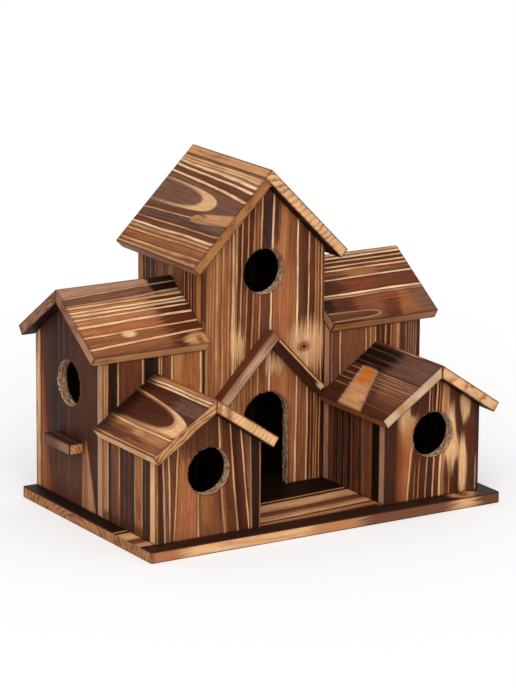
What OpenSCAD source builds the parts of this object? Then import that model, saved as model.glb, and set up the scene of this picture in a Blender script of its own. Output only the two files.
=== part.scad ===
// Nest box for small birds: a gabled tower between two cross-gabled wings, with a small gabled
// house in front of each wing, all nailed together from plain softwood boards on one base board.
// Millimetres, +X to the right, +Y to the back, +Z up.
// The origin is the centre of the underside of the base board.

/* [Board stock] */
// Thickness of every board
board = 9.5; // [6:0.5:12]

/* [Base board] */
// How far the base board stands out past the outer side of each house
base_side = 12.5; // [3:0.5:40]
// How far the base board stands out in front of the houses
base_front = 15; // [3:0.5:60]
// How far the base board stands out behind the back walls
base_back = 2; // [0:0.5:40]
// Radius of the base board's upright corners
base_corner_r = 2.5; // [1:0.5:10]

/* [Tower] */
// Width of the tower over its side walls
tower_w = 121; // [100:1:160]
// Depth of the tower over its front and back walls
tower_d = 105.5; // [80:0.5:140]
// Height of the tower's ridge over the underside of the base
tower_ridge_z = 286; // [260:1:340]
// Slope of the tower's roof, in degrees
tower_pitch = 45; // [40:1:50]
// How far the tower's roof stands out past each side wall, measured level
tower_eave = 15.5; // [8:0.5:30]
// How far the tower's roof stands out past the front wall
tower_roof_front = 12; // [2:0.5:25]
// How far the tower's roof stands out past the back wall
tower_roof_back = 11; // [2:0.5:25]

/* [Wings] */
// Length of the left wing, from the tower's side to its end wall's outer face
left_wing_l = 99; // [80:1:120]
// Length of the right wing, from the tower's side to its end wall's outer face
right_wing_l = 92; // [80:1:120]
// Height of both wings' ridges over the underside of the base
wing_ridge_z = 192; // [180:1:198]
// Distance of the wings' ridge line behind the middle of their walls
wing_ridge_shift = 1.5; // [0:0.5:4]
// Slope of the wings' roofs, in degrees
wing_pitch = 34; // [30:1:36]
// How far the wings' roofs stand out past their front walls, measured level
wing_eave = 6.5; // [2:0.5:15]
// How far the left wing's roof stands out past its end wall
left_wing_overhang = 11; // [2:0.5:25]
// How far the right wing's roof stands out past its end wall
right_wing_overhang = 14; // [2:0.5:25]

/* [Houses] */
// Depth of both houses, from the wing's front face to the house's front face
house_d = 86; // [70:1:110]
// How far the right house's outer wall stands out past the right wing's end wall
right_house_proud = 3; // [0:0.5:5]
// Height of both houses' ridges over the underside of the base
house_ridge_z = 127; // [112:1:130]
// Slope of the houses' roofs, in degrees
house_pitch = 34; // [28:1:38]
// How far the roof stands out past the side walls of the wider house, measured level
house_eave = 9.5; // [2:0.5:14]
// How far the houses' roofs stand out past their front walls
house_roof_front = 12.5; // [2:0.5:25]

/* [Entrances] */
// Diameter of the five round entrance holes
hole_d = 39; // [28:1:45]
// Height of the hole in the tower over the underside of the base
tower_hole_z = 197.5; // [185:0.5:215]
// Height of the holes in the wings' end walls over the underside of the base
wing_hole_z = 111.5; // [95:0.5:125]
// Height of the holes in the houses over the underside of the base
house_hole_z = 64.5; // [55:0.5:72]
// Width of the arched doorway at the foot of the tower
door_w = 44; // [36:1:54]
// Height of the doorway's crown over the base board
door_h = 83.5; // [60:0.5:100]
// Distance of the doorway's centre line from the tower's, to the right
door_shift = 3.5; // [0:0.5:10]

/* [Perches] */
// Length of each perch, front to back
perch_l = 44; // [20:1:80]
// How far each perch stands out from its end wall
perch_out = 13.5; // [8:0.5:30]
// Distance of each perch's middle from the middle of its end wall, towards the front
perch_shift = 3.5; // [0:0.5:10]
// Height of the perches' top faces over the underside of the base
perch_top_z = 66.5; // [50:0.5:80]

/* [Door canopy] */
// Width of the two sticks that make the canopy over the doorway, across their length
stick_w = 9.5; // [6:0.5:14]
// How far the sticks stand out from the tower's front wall
stick_out = 11.5; // [6:0.5:14]
// Height of the canopy's point over the underside of the base
canopy_z = 148.5; // [135:0.5:155]
// Slope of the canopy's sticks, in degrees
canopy_pitch = 46.5; // [42:0.5:50]
// Gap between the sticks' lower ends and the eaves of the houses' roofs
canopy_gap = 1; // [0.5:0.5:20]

/* [Hidden] */

$fn = 96;
cut = 1;                                   // how far a cutting tool runs past a face

LEFT = -1;
RIGHT = 1;
FRONT = -1;
BACK = 1;

// Upper ends of a roof board at the ridge
MITRE = "mitre";                           // cut upright, meets its twin on the ridge line
CAP = "cap";                               // runs over the ridge and covers the other board's end
BUTT = "butt";                             // stops under the capping board

// Colours of the torched softwood
WALL_BROWN = "#6b3f22";
SIDE_BROWN = "#4a2a18";
ROOF_BROWN = "#8a5830";
BASE_BROWN = "#a8713f";
STICK_TAN = "#c08a55";

right_house_w = right_wing_l + right_house_proud;

base_w = left_wing_l + tower_w + right_house_w + 2 * base_side;
base_d = base_front + house_d + board + tower_d + base_back;

left_end_x = base_side - base_w / 2;
tower_left_x = left_end_x + left_wing_l;
tower_right_x = tower_left_x + tower_w;
right_end_x = tower_right_x + right_house_w;
tower_x = (tower_left_x + tower_right_x) / 2;
left_house_x = (left_end_x + tower_left_x) / 2;
right_house_x = (right_end_x + tower_right_x) / 2;

house_front_y = base_front - base_d / 2;
wing_front_y = house_front_y + house_d;
tower_front_y = wing_front_y + board;
back_y = tower_front_y + tower_d;

wing_middle_y = (wing_front_y + back_y) / 2;
wing_ridge_y = wing_middle_y + wing_ridge_shift;

tower_span = tower_w / 2 + tower_eave;
wing_span = wing_ridge_y - wing_front_y + wing_eave;
house_span = max(left_wing_l, right_house_w) / 2 + house_eave;

door_x = tower_x + door_shift;

// Level reach of a canopy stick on one side, from the point down to its square lower end. It
// stops short of the eave edge of the house's roof on that side, and inside the tower's width.
function canopy_span(side) =
    let (eave_x = abs(house_x(side) - door_x) - house_span,
         eave_drop = canopy_z - house_ridge_z + house_span * tan(house_pitch),
         reach = eave_x * cos(canopy_pitch) + eave_drop * sin(canopy_pitch) - canopy_gap)
    min(reach * cos(canopy_pitch), abs(wing_inner_x(side) - door_x) - canopy_gap);

// ---- Shapes that repeat -------------------------------------------------------------------

// Height of a roof's underside below its ridge top, at a level distance from the ridge line
function under(pitch, distance) = -board / cos(pitch) - abs(distance) * tan(pitch);

// Outline of a gabled wall from u0 to u1 that fills the space under a roof
function gable(u0, u1, ridge_u, ridge_z, pitch) = [
    [u0, board], [u1, board],
    [u1, ridge_z + under(pitch, u1 - ridge_u)],
    [ridge_u, ridge_z + under(pitch, 0)],
    [u0, ridge_z + under(pitch, u0 - ridge_u)]
];

// Section of a wall that runs along the ridge, its top planed to the roof's slope
function eave_wall(u0, u1, ridge_u, ridge_z, pitch) = [
    [u0, board], [u1, board],
    [u1, ridge_z + under(pitch, u1 - ridge_u)],
    [u0, ridge_z + under(pitch, u0 - ridge_u)]
];

// Where the outer face of a butted board meets the underside of the capping board
function butt_point(side, thick, pitch) =
    let (reach = thick / sin(2 * pitch)) [side * reach * cos(pitch), -reach * sin(pitch)];

// Upper end of a sloping board's section, from its outer to its inner corner
function upper_end(side, thick, pitch, ridge) =
    ridge == CAP ? [[0, 0], butt_point(-side, thick, pitch)]
    : ridge == BUTT ? [butt_point(side, thick, pitch), [0, -thick / cos(pitch)]]
    : [[0, 0], [0, -thick / cos(pitch)]];

// Section of a board that slopes down from a ridge point to one side, square at its lower end
function slope_board(side, span, thick, pitch, ridge, top) =
    let (end = upper_end(side, thick, pitch, ridge), drop = span * tan(pitch))
    [for (p = [
        end[0],
        [side * span, -drop],
        [side * (span - thick * sin(pitch)), -drop - thick * cos(pitch)],
        end[1]
    ]) p + top];

// Extrudes an X-Z outline from y0 towards the back
module along_y(outline, y0, length)
    translate([0, y0 + length, 0]) rotate([90, 0, 0])
        linear_extrude(length) polygon(outline);

// Extrudes a Y-Z outline from x0 to the right
module along_x(outline, x0, length)
    translate([x0, 0, 0]) rotate([90, 0, 90])
        linear_extrude(length) polygon(outline);

// Round entrance hole through a board that faces front or back
module hole_y(x, y0, z)
    translate([x, y0 + board + cut, z]) rotate([90, 0, 0])
        cylinder(h = board + 2 * cut, d = hole_d);

// Round entrance hole through a board that faces left or right
module hole_x(x0, y, z)
    translate([x0 - cut, y, z]) rotate([0, 90, 0])
        cylinder(h = board + 2 * cut, d = hole_d);

// Rectangle with round corners, as an exact outline
module rounded_rect(w, d, r) {
    square([w - 2 * r, d], center = true);
    square([w, d - 2 * r], center = true);
    for (x = [-1, 1], y = [-1, 1])
        translate([x * (w / 2 - r), y * (d / 2 - r)]) circle(r);
}

// ---- Base ---------------------------------------------------------------------------------

module base_board()
    color(BASE_BROWN) linear_extrude(board) rounded_rect(base_w, base_d, base_corner_r);

// ---- Tower --------------------------------------------------------------------------------

function tower_gable() = gable(tower_left_x, tower_right_x, tower_x, tower_ridge_z, tower_pitch);

// Doorway with straight jambs and a half-round crown, open at the foot of the wall
module doorway() {
    spring_z = board + door_h - door_w / 2;
    translate([door_x - door_w / 2, tower_front_y - cut, board - cut])
        cube([door_w, board + 2 * cut, spring_z - board + cut]);
    translate([door_x, tower_front_y + board + cut, spring_z]) rotate([90, 0, 0])
        cylinder(h = board + 2 * cut, d = door_w);
}

module tower_front_wall()
    color(WALL_BROWN) difference() {
        along_y(tower_gable(), tower_front_y, board);
        hole_y(tower_x, tower_front_y, tower_hole_z);
        doorway();
    }

module tower_back_wall()
    color(WALL_BROWN) along_y(tower_gable(), back_y - board, board);

// Side wall of the tower, between the front and back walls
module tower_side_wall(side) {
    outer_x = tower_x + side * tower_w / 2;
    color(SIDE_BROWN) along_y(
        eave_wall(outer_x, outer_x - side * board, tower_x, tower_ridge_z, tower_pitch),
        tower_front_y + board, tower_d - 2 * board);
}

module tower_left_wall() tower_side_wall(LEFT);
module tower_right_wall() tower_side_wall(RIGHT);

// One board of the tower's roof: the right one runs over the upper end of the left one
module tower_roof(side)
    color(ROOF_BROWN) along_y(
        slope_board(side, tower_span, board, tower_pitch, side == RIGHT ? CAP : BUTT,
            [tower_x, tower_ridge_z]),
        tower_front_y - tower_roof_front, tower_roof_front + tower_d + tower_roof_back);

module tower_roof_left() tower_roof(LEFT);
module tower_roof_right() tower_roof(RIGHT);

// One stick of the canopy over the doorway: the right one butts against the left one
module door_canopy(side)
    color(STICK_TAN) along_y(
        slope_board(side, canopy_span(side), stick_w, canopy_pitch, side == LEFT ? CAP : BUTT,
            [door_x, canopy_z]),
        tower_front_y - stick_out, stick_out);

module door_canopy_left() door_canopy(LEFT);
module door_canopy_right() door_canopy(RIGHT);

// ---- Wings --------------------------------------------------------------------------------

function wing_inner_x(side) = side == LEFT ? tower_left_x : tower_right_x;
function wing_l(side) = side == LEFT ? left_wing_l : right_wing_l;
function wing_end_x(side) = wing_inner_x(side) + side * wing_l(side);
function wing_overhang(side) = side == LEFT ? left_wing_overhang : right_wing_overhang;

// Extrudes a Y-Z outline between two places along a wing, given in either order
module along_wing(outline, xa, xb) along_x(outline, min(xa, xb), abs(xb - xa));

// Long wall of a wing, from the tower's side to the wing's end
module wing_long_wall(side, face) {
    outer_y = face == FRONT ? wing_front_y : back_y;
    color(WALL_BROWN) along_wing(
        eave_wall(outer_y, outer_y - face * board, wing_ridge_y, wing_ridge_z, wing_pitch),
        wing_inner_x(side), wing_end_x(side));
}

// Gabled end wall of a wing, held between its two long walls
module wing_end_wall(side)
    color(SIDE_BROWN) difference() {
        along_wing(
            gable(wing_front_y + board, back_y - board, wing_ridge_y, wing_ridge_z,
                wing_pitch),
            wing_end_x(side), wing_end_x(side) - side * board);
        hole_x(min(wing_end_x(side), wing_end_x(side) - side * board),
            wing_middle_y, wing_hole_z);
    }

// Roof board of a wing, butted against the tower's side
module wing_roof(side, face)
    color(ROOF_BROWN) along_wing(
        slope_board(face, wing_span, board, wing_pitch, MITRE, [wing_ridge_y, wing_ridge_z]),
        wing_inner_x(side), wing_end_x(side) + side * wing_overhang(side));

// Perch below the hole in a wing's end wall
module wing_perch(side) {
    outer_x = wing_end_x(side) + side * perch_out;
    color(SIDE_BROWN)
        translate([min(wing_end_x(side), outer_x),
            wing_middle_y - perch_shift - perch_l / 2, perch_top_z - board])
            cube([perch_out, perch_l, board]);
}

module left_wing_front_wall() wing_long_wall(LEFT, FRONT);
module left_wing_back_wall() wing_long_wall(LEFT, BACK);
module left_wing_end_wall() wing_end_wall(LEFT);
module left_wing_roof_front() wing_roof(LEFT, FRONT);
module left_wing_roof_back() wing_roof(LEFT, BACK);
module left_wing_perch() wing_perch(LEFT);

module right_wing_front_wall() wing_long_wall(RIGHT, FRONT);
module right_wing_back_wall() wing_long_wall(RIGHT, BACK);
module right_wing_end_wall() wing_end_wall(RIGHT);
module right_wing_roof_front() wing_roof(RIGHT, FRONT);
module right_wing_roof_back() wing_roof(RIGHT, BACK);
module right_wing_perch() wing_perch(RIGHT);

// ---- Houses -------------------------------------------------------------------------------

function house_x(side) = side == LEFT ? left_house_x : right_house_x;
function house_outer_x(side) = side == LEFT ? left_end_x : right_end_x;

// Gabled front wall of a house, which covers the front ends of its side walls
module house_front_wall(side)
    color(WALL_BROWN) difference() {
        along_y(
            gable(min(wing_inner_x(side), house_outer_x(side)),
                max(wing_inner_x(side), house_outer_x(side)),
                house_x(side), house_ridge_z, house_pitch),
            house_front_y, board);
        hole_y(house_x(side), house_front_y, house_hole_z);
    }

// Side wall of a house whose outer face is at outer_x and whose body lies towards its middle
module house_side_wall(side, outer_x) {
    inward = outer_x < house_x(side) ? 1 : -1;
    color(SIDE_BROWN) along_y(
        eave_wall(outer_x, outer_x + inward * board, house_x(side), house_ridge_z, house_pitch),
        house_front_y + board, house_d - board);
}

// One board of a house's roof, butted against the wing's front wall
module house_roof(side, slope)
    color(ROOF_BROWN) along_y(
        slope_board(slope, house_span, board, house_pitch, MITRE,
            [house_x(side), house_ridge_z]),
        house_front_y - house_roof_front, house_roof_front + house_d);

module left_house_front_wall() house_front_wall(LEFT);
module left_house_outer_wall() house_side_wall(LEFT, house_outer_x(LEFT));
module left_house_inner_wall() house_side_wall(LEFT, wing_inner_x(LEFT));
module left_house_roof_left() house_roof(LEFT, LEFT);
module left_house_roof_right() house_roof(LEFT, RIGHT);

module right_house_front_wall() house_front_wall(RIGHT);
module right_house_outer_wall() house_side_wall(RIGHT, house_outer_x(RIGHT));
module right_house_inner_wall() house_side_wall(RIGHT, wing_inner_x(RIGHT));
module right_house_roof_left() house_roof(RIGHT, LEFT);
module right_house_roof_right() house_roof(RIGHT, RIGHT);

// ---- Assembly -----------------------------------------------------------------------------

base_board();

tower_front_wall();
tower_back_wall();
tower_left_wall();
tower_right_wall();
tower_roof_left();
tower_roof_right();
door_canopy_left();
door_canopy_right();

left_wing_front_wall();
left_wing_back_wall();
left_wing_end_wall();
left_wing_roof_front();
left_wing_roof_back();
left_wing_perch();

right_wing_front_wall();
right_wing_back_wall();
right_wing_end_wall();
right_wing_roof_front();
right_wing_roof_back();
right_wing_perch();

left_house_front_wall();
left_house_outer_wall();
left_house_inner_wall();
left_house_roof_left();
left_house_roof_right();

right_house_front_wall();
right_house_outer_wall();
right_house_inner_wall();
right_house_roof_left();
right_house_roof_right();
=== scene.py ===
"""Dresses the nest box: every board of the tower, its wings, the houses, the canopy and the base."""

import logging
import math
import random
from dataclasses import dataclass, field
from enum import Enum

import bmesh
import bpy
from bmesh.types import BMesh, BMFace, BMVert
from bpy.types import ID, Material, Mesh, Node, NodeTree, Object
from bpy.types import NodeSocket as Socket
from mathutils import Matrix, Vector, noise

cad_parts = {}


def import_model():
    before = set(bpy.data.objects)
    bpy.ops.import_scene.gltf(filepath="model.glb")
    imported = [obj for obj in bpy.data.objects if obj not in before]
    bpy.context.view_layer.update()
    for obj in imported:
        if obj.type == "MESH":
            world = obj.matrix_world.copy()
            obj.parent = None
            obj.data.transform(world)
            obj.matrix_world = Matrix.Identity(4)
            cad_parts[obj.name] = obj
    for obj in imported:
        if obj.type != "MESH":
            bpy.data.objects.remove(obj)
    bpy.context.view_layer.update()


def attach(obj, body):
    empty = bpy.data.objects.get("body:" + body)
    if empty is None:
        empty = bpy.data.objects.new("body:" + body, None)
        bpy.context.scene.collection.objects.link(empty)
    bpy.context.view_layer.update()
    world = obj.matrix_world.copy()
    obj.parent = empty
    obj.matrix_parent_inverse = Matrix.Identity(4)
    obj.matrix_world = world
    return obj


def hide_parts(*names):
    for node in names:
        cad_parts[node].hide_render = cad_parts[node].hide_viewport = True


LOG = logging.getLogger("nest_box")
MM = 0.001

Vec3 = tuple[float, float, float]
Stops = list[tuple[float, tuple]]


# ---- Tones of torched softwood


class Tone(Enum):
    """Tones that the torch leaves on softwood, as they look in plain light (red, green, blue)."""

    BONE = (246, 198, 152)
    FIBRE = (198, 170, 136)
    PALE = (230, 178, 128)
    TAN = (208, 150, 101)
    ROSE_TAN = (188, 145, 113)
    AMBER = (186, 124, 76)
    ORANGE = (208, 121, 52)
    COPPER = (172, 104, 66)
    OCHRE = (160, 98, 56)
    BROWN = (130, 80, 50)
    RUST = (136, 68, 38)
    # The two ash tones are partly the grey of charred wood and partly painted sheen: the grey haze that
    # the charcoal's gloss shows on the roof slopes.
    ASH_LIGHT = (170, 126, 101)
    ASH = (112, 78, 62)
    COCOA = (112, 66, 48)
    UMBER = (102, 56, 32)
    MAROON = (86, 40, 24)
    DARK = (68, 35, 21)
    PLUM = (58, 36, 33)
    CHAR = (46, 25, 17)
    SOOT = (24, 12, 7)

    def linear(self, alpha: float = 1.0) -> tuple[float, float, float, float]:
        """This tone in linear light, with the given opacity."""
        red, green, blue = (srgb_to_linear(v / 255) for v in self.value)
        return (red, green, blue, alpha)


def srgb_to_linear(value: float) -> float:
    """One display value from 0 to 1 in linear light."""
    return value / 12.92 if value <= 0.04045 else ((value + 0.055) / 1.055) ** 2.4


# The tones by their bare names, in the order above.
(BONE, FIBRE, PALE, TAN, ROSE_TAN, AMBER, ORANGE, COPPER, OCHRE, BROWN, RUST, ASH_LIGHT, ASH,
 COCOA, UMBER, MAROON, DARK, PLUM, CHAR, SOOT) = Tone


class Zone(Enum):
    """The kinds of surface on a board, and the mesh attribute that marks each one."""

    EDGE = "edge_grain"
    END = "end_grain"
    REVEAL = "hole_reveal"
    # The back faces of the boards, inside the box and under the eaves and the perch, which the finish
    # paints near black as painted shade.
    INNER = "inner_face"


# ---- What is seen on a board


@dataclass(frozen=True)
class Line:
    """A thin pale line of late wood, at a place across the board."""

    at: float
    tone: Tone = TAN
    width: float = 1.0
    show: float = 1.0


def lines(tone: Tone, width: float, *places: float, show: float = 1.0) -> tuple[Line, ...]:
    """Late-wood lines of one tone and width.

    Args:
        tone: the lines' tone.
        width: their width in millimetres.
        places: where each one lies across the board, in millimetres.
        show: how strongly they show, from 0 to 1.

    Returns:
        The lines, in the order given.
    """
    return tuple(Line(place, tone, width, show) for place in places)


@dataclass(frozen=True)
class Spot:
    """A soft-edged place on a board that the torch burnt more or less than its surroundings."""

    along: float
    across: float
    half_along: float
    half_across: float
    tone: Tone
    show: float = 1.0
    soft: float = 0.35
    feather: float = 6.0
    slant: float = 0.0
    over_lines: bool = False


@dataclass(frozen=True)
class Patch:
    """A stretch of a board between two places along it and two growth rings, with soft borders."""

    start: float
    stop: float
    low: float
    high: float
    tone: Tone
    show: float = 1.0
    soft: float = 4.0
    soft_across: float = 0.8
    comb: float = 4.0
    lean: tuple[float, float] = (0.0, 0.0)
    sway: tuple[float, float] = (0.0, 0.0)
    by_rings: bool = True
    over_lines: bool = False


@dataclass(frozen=True)
class Run:
    """Late-wood lines that show only on a stretch of a board."""

    start: float
    stop: float
    lines: tuple[Line, ...]
    fade: float = 6.0


@dataclass(frozen=True)
class Sawn:
    """A sawn surface: its bare tone, and the rings that cross it, round a heart behind the face."""

    plain: Tone = AMBER
    ring: Tone = BROWN
    heart: tuple[float, float] = (40.0, 60.0)
    step: float = 3.0
    show: float = 0.6
    lean: float = 0.0
    burn: float = 0.12
    marks: tuple[Patch, ...] = ()


@dataclass(frozen=True)
class Tongue:
    """A tongue-shaped figure, where a flat-sawn board cuts through the top of a growth ring."""

    tip: float
    axis: float
    half_width: float
    blunt: float
    tone: Tone
    soft: float = 1.2
    towards: int = 1
    skew: float = 0.0
    show: float = 1.0


@dataclass(frozen=True)
class Knot:
    """A small round knot with its dark ring."""

    along: float
    across: float
    size: float = 4.0
    heart: Tone = RUST
    ring: Tone = UMBER


@dataclass(frozen=True)
class TorchedFace:
    """Everything that is seen on one torched board. All lengths are in millimetres."""

    ground: tuple[tuple[float, Tone], ...]
    lines: tuple[Line, ...] = ()
    far: tuple[tuple[float, Tone], ...] = ()
    far_from: float = 0.0
    far_to: float = 1.0
    patches: tuple[Patch, ...] = ()
    spots: tuple[Spot, ...] = ()
    tongues: tuple[Tongue, ...] = ()
    runs: tuple[Run, ...] = ()
    knots: tuple[Knot, ...] = ()
    edge: Sawn = Sawn(OCHRE, UMBER, step=2.6, burn=0.2)
    end: Sawn = Sawn()
    # A gain on the whole finish, partly the board's own tone and partly painted light: the roof slopes
    # are set darker and most walls lighter, for how the light falls on them.
    tone_and_light_gain: float = 1.0
    arris: Tone = DARK
    arris_show: float = 0.45
    slope: float = 0.0
    drift: tuple[tuple[float, float], ...] = ()
    length: float = 100.0
    waver: float = 1.0
    streak: float = 1.1
    burn: float = 0.6
    hair: float = 0.4
    flank: Tone = DARK
    flank_show: float = 0.5
    seed: int = 1
    # The near-black tone of the board's back face: painted shade for the inside of the box and the
    # undersides of the eaves and the perch.
    inner: Tone = SOOT

    def painted(self, name: str, lay: "Lay") -> Material:
        """The material of a board that lies as given."""
        return WoodPainter(name, lay, self).paint()


def plain_face(seed: int, width: float, dark: float = 0.5, **changes: object) -> TorchedFace:
    """A torched face with no marks of its own, for the sides that are seldom seen.

    Args:
        seed: picks the order of its rings.
        width: the board's width in millimetres.
        dark: how much of it is charred, from 0 to 1.
        changes: any fields of TorchedFace to set besides.

    Returns:
        The face, the same one for the same seed.
    """
    chance = random.Random(seed)
    light = [OCHRE, BROWN, UMBER, AMBER]
    burnt = [CHAR, DARK, MAROON, UMBER]
    ground, ring_lines, at = [], [], 0.0
    while at < width and len(ground) < 20:
        ground.append((at, chance.choice(burnt if chance.random() < dark else light)))
        at += chance.uniform(3.5, 9.0)
        tone = chance.choice([TAN, AMBER, ROSE_TAN, OCHRE])
        ring_lines.append(Line(at - 0.8, tone, chance.uniform(0.8, 1.4), chance.uniform(0.5, 1)))
    return TorchedFace(tuple(ground), tuple(ring_lines), seed=seed, burn=1.4, **changes)


# ---- How a board lies


@dataclass(frozen=True)
class Lay:
    """How a board lies: one corner of its show face, the run of its grain, and the way across it."""

    corner: Vec3
    along: Vec3
    across: Vec3

    def turn(self) -> Matrix:
        """Turns a direction of the nest box into the board's own axes."""
        along, across = Vector(self.along).normalized(), Vector(self.across).normalized()
        return Matrix((along, across, along.cross(across)))

    def shift(self) -> Vector:
        """The shift that takes the show face's corner to nought, in millimetres."""
        return -(self.turn() @ Vector(self.corner))

    def local(self, point: Vector) -> Vector:
        """A point given in metres, on the board's own axes in millimetres."""
        return self.turn() @ (point / MM) + self.shift()


# ---- Shader nodes


class Desk:
    """Lays out the nodes of one tree and joins them up."""

    def __init__(self, tree: NodeTree) -> None:
        """Starts with an empty tree."""
        self.tree = tree
        self.tree.nodes.clear()

    def node(self, kind: str, feeds: dict | None = None, **settings: object) -> Node:
        """Makes a node.

        Args:
            kind: the kind of node.
            feeds: values or other nodes' sockets for its inputs, by number or name.
            settings: its settings, by name.

        Returns:
            The node.
        """
        made = self.tree.nodes.new(kind)
        for key, value in settings.items():
            setattr(made, key, value)
        for key, value in (feeds or {}).items():
            self.feed(made.inputs[key], value)
        return made

    def feed(self, socket: Socket, value: object) -> None:
        """Joins another node's socket to an input, or writes a value on it.

        Args:
            socket: the input.
            value: the other node's socket, or the value.
        """
        if isinstance(value, Socket):
            self.tree.links.new(value, socket)
        else:
            socket.default_value = value

    def math(self, kind: str, *values: object, clamp: bool = False) -> Socket:
        """The result of a Math node."""
        feeds = dict(enumerate(values))
        return self.node("ShaderNodeMath", feeds, operation=kind, use_clamp=clamp).outputs[0]

    def plus(self, first: object, second: object) -> Socket:
        """The sum of two values."""
        return self.math("ADD", first, second)

    def minus(self, first: object, second: object) -> Socket:
        """The first value less the second."""
        return self.math("SUBTRACT", first, second)

    def times(self, first: object, second: object, clamp: bool = False) -> Socket:
        """The product of two values, held between 0 and 1 where it is clamped."""
        return self.math("MULTIPLY", first, second, clamp=clamp)

    def over(self, first: object, second: object) -> Socket:
        """The first value divided by the second."""
        return self.math("DIVIDE", first, second)

    def reach(self, first: object, second: object) -> Socket:
        """How far off a point is that lies so far away in two directions."""
        squares = self.plus(self.math("POWER", first, 2), self.math("POWER", second, 2))
        return self.math("SQRT", squares)

    def vector(self, x: object, y: object, z: object) -> Socket:
        """A vector made of three values."""
        return self.node("ShaderNodeCombineXYZ", {0: x, 1: y, 2: z}).outputs[0]

    def mix(self, factor: object, low: object, high: object, blend: str = "MIX") -> Socket:
        """Two colours mixed by a factor.

        Args:
            factor: the share of the second colour, a value or a socket.
            low: the first colour.
            high: the second colour.
            blend: the way of mixing.

        Returns:
            The mixed colour's socket.
        """
        made = self.node("ShaderNodeMix", {0: factor, 6: low, 7: high}, data_type="RGBA",
                         blend_type=blend, clamp_factor=True)
        return made.outputs[2]

    def noise(self, vector: object, scale: float, detail: float = 2.0, rough: float = 0.5) -> Socket:
        """Noise about nought, from a vector.

        Args:
            vector: where it is read.
            scale: how fine it is.
            detail: the number of finer layers.
            rough: how strong those are.

        Returns:
            The socket of the noise, from about -0.5 to 0.5.
        """
        made = self.node("ShaderNodeTexNoise", {"Vector": vector, "Scale": scale, "Detail": detail,
                                                "Roughness": rough})
        return self.minus(made.outputs["Fac"], 0.5)

    def spread(self, value: object, low: object, high: object, to_low: float, to_high: float,
               kind: str = "LINEAR") -> Socket:
        """A value carried from one range to another, and held inside it.

        Args:
            value: the value's socket.
            low: where the first range starts.
            high: where it ends.
            to_low: where the second range starts.
            to_high: where it ends.
            kind: LINEAR or SMOOTHSTEP.

        Returns:
            The socket of the result.
        """
        feeds = {"Value": value, "From Min": low, "From Max": high, "To Min": to_low,
                 "To Max": to_high}
        made = self.node("ShaderNodeMapRange", feeds, interpolation_type=kind, clamp=True)
        return made.outputs[0]

    def ramp(self, factor: object, stops: Stops) -> Node:
        """A colour ramp.

        Args:
            factor: where it is read, from 0 to 1.
            stops: places and colours, in rising order.

        Returns:
            The ramp node.
        """
        made = self.node("ShaderNodeValToRGB", {0: factor})
        elements = made.color_ramp.elements
        while len(elements) < len(stops):
            elements.new(0.5)
        for element, (place, colour) in zip(elements, stops):
            element.position = min(max(place, 0.0), 1.0)
            element.color = colour
        return made

    def mark(self, name: str) -> Socket:
        """A mesh attribute's value."""
        return self.node("ShaderNodeAttribute", attribute_name=name).outputs["Fac"]

    def group(self, tree: NodeTree, **values: object) -> Node:
        """A group node, with its inputs given by name and spaces written as underscores."""
        feeds = {key.replace("_", " "): value for key, value in values.items()}
        return self.node("ShaderNodeGroup", feeds, node_tree=tree)


def new_material(name: str) -> tuple[Material, Desk]:
    """Makes a material.

    Args:
        name: its name.

    Returns:
        The empty material and the desk of its tree.
    """
    material = bpy.data.materials.new(name)
    material.use_nodes = True
    return material, Desk(material.node_tree)


def new_object(name: str, data: ID) -> Object:
    """Makes an object and puts it in the scene.

    Args:
        name: its name.
        data: its mesh, lamp or camera.

    Returns:
        The object.
    """
    made = bpy.data.objects.new(name, data)
    bpy.context.scene.collection.objects.link(made)
    return made


def new_group(name: str, inputs: tuple[str, ...], outputs: tuple[str, ...]) -> tuple[Desk, dict, dict]:
    """An empty shader group.

    Args:
        name: the group's name.
        inputs: names of its inputs; a name that starts with a star is a vector.
        outputs: names of its outputs, in the same way, and with a plus a colour.

    Returns:
        Its desk, its inputs' sockets by name, and its outputs' sockets by name.
    """
    kinds = {"*": "NodeSocketVector", "+": "NodeSocketColor"}
    tree = bpy.data.node_groups.new(name, "ShaderNodeTree")
    for names, way in ((inputs, "INPUT"), (outputs, "OUTPUT")):
        for item in names:
            tree.interface.new_socket(item.lstrip("*+"), in_out=way,
                                      socket_type=kinds.get(item[0], "NodeSocketFloat"))
    desk = Desk(tree)
    entry, leave = desk.node("NodeGroupInput"), desk.node("NodeGroupOutput")
    return (desk, {s.name: s for s in entry.outputs if s.name},
            {s.name: s for s in leave.inputs if s.name})


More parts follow.
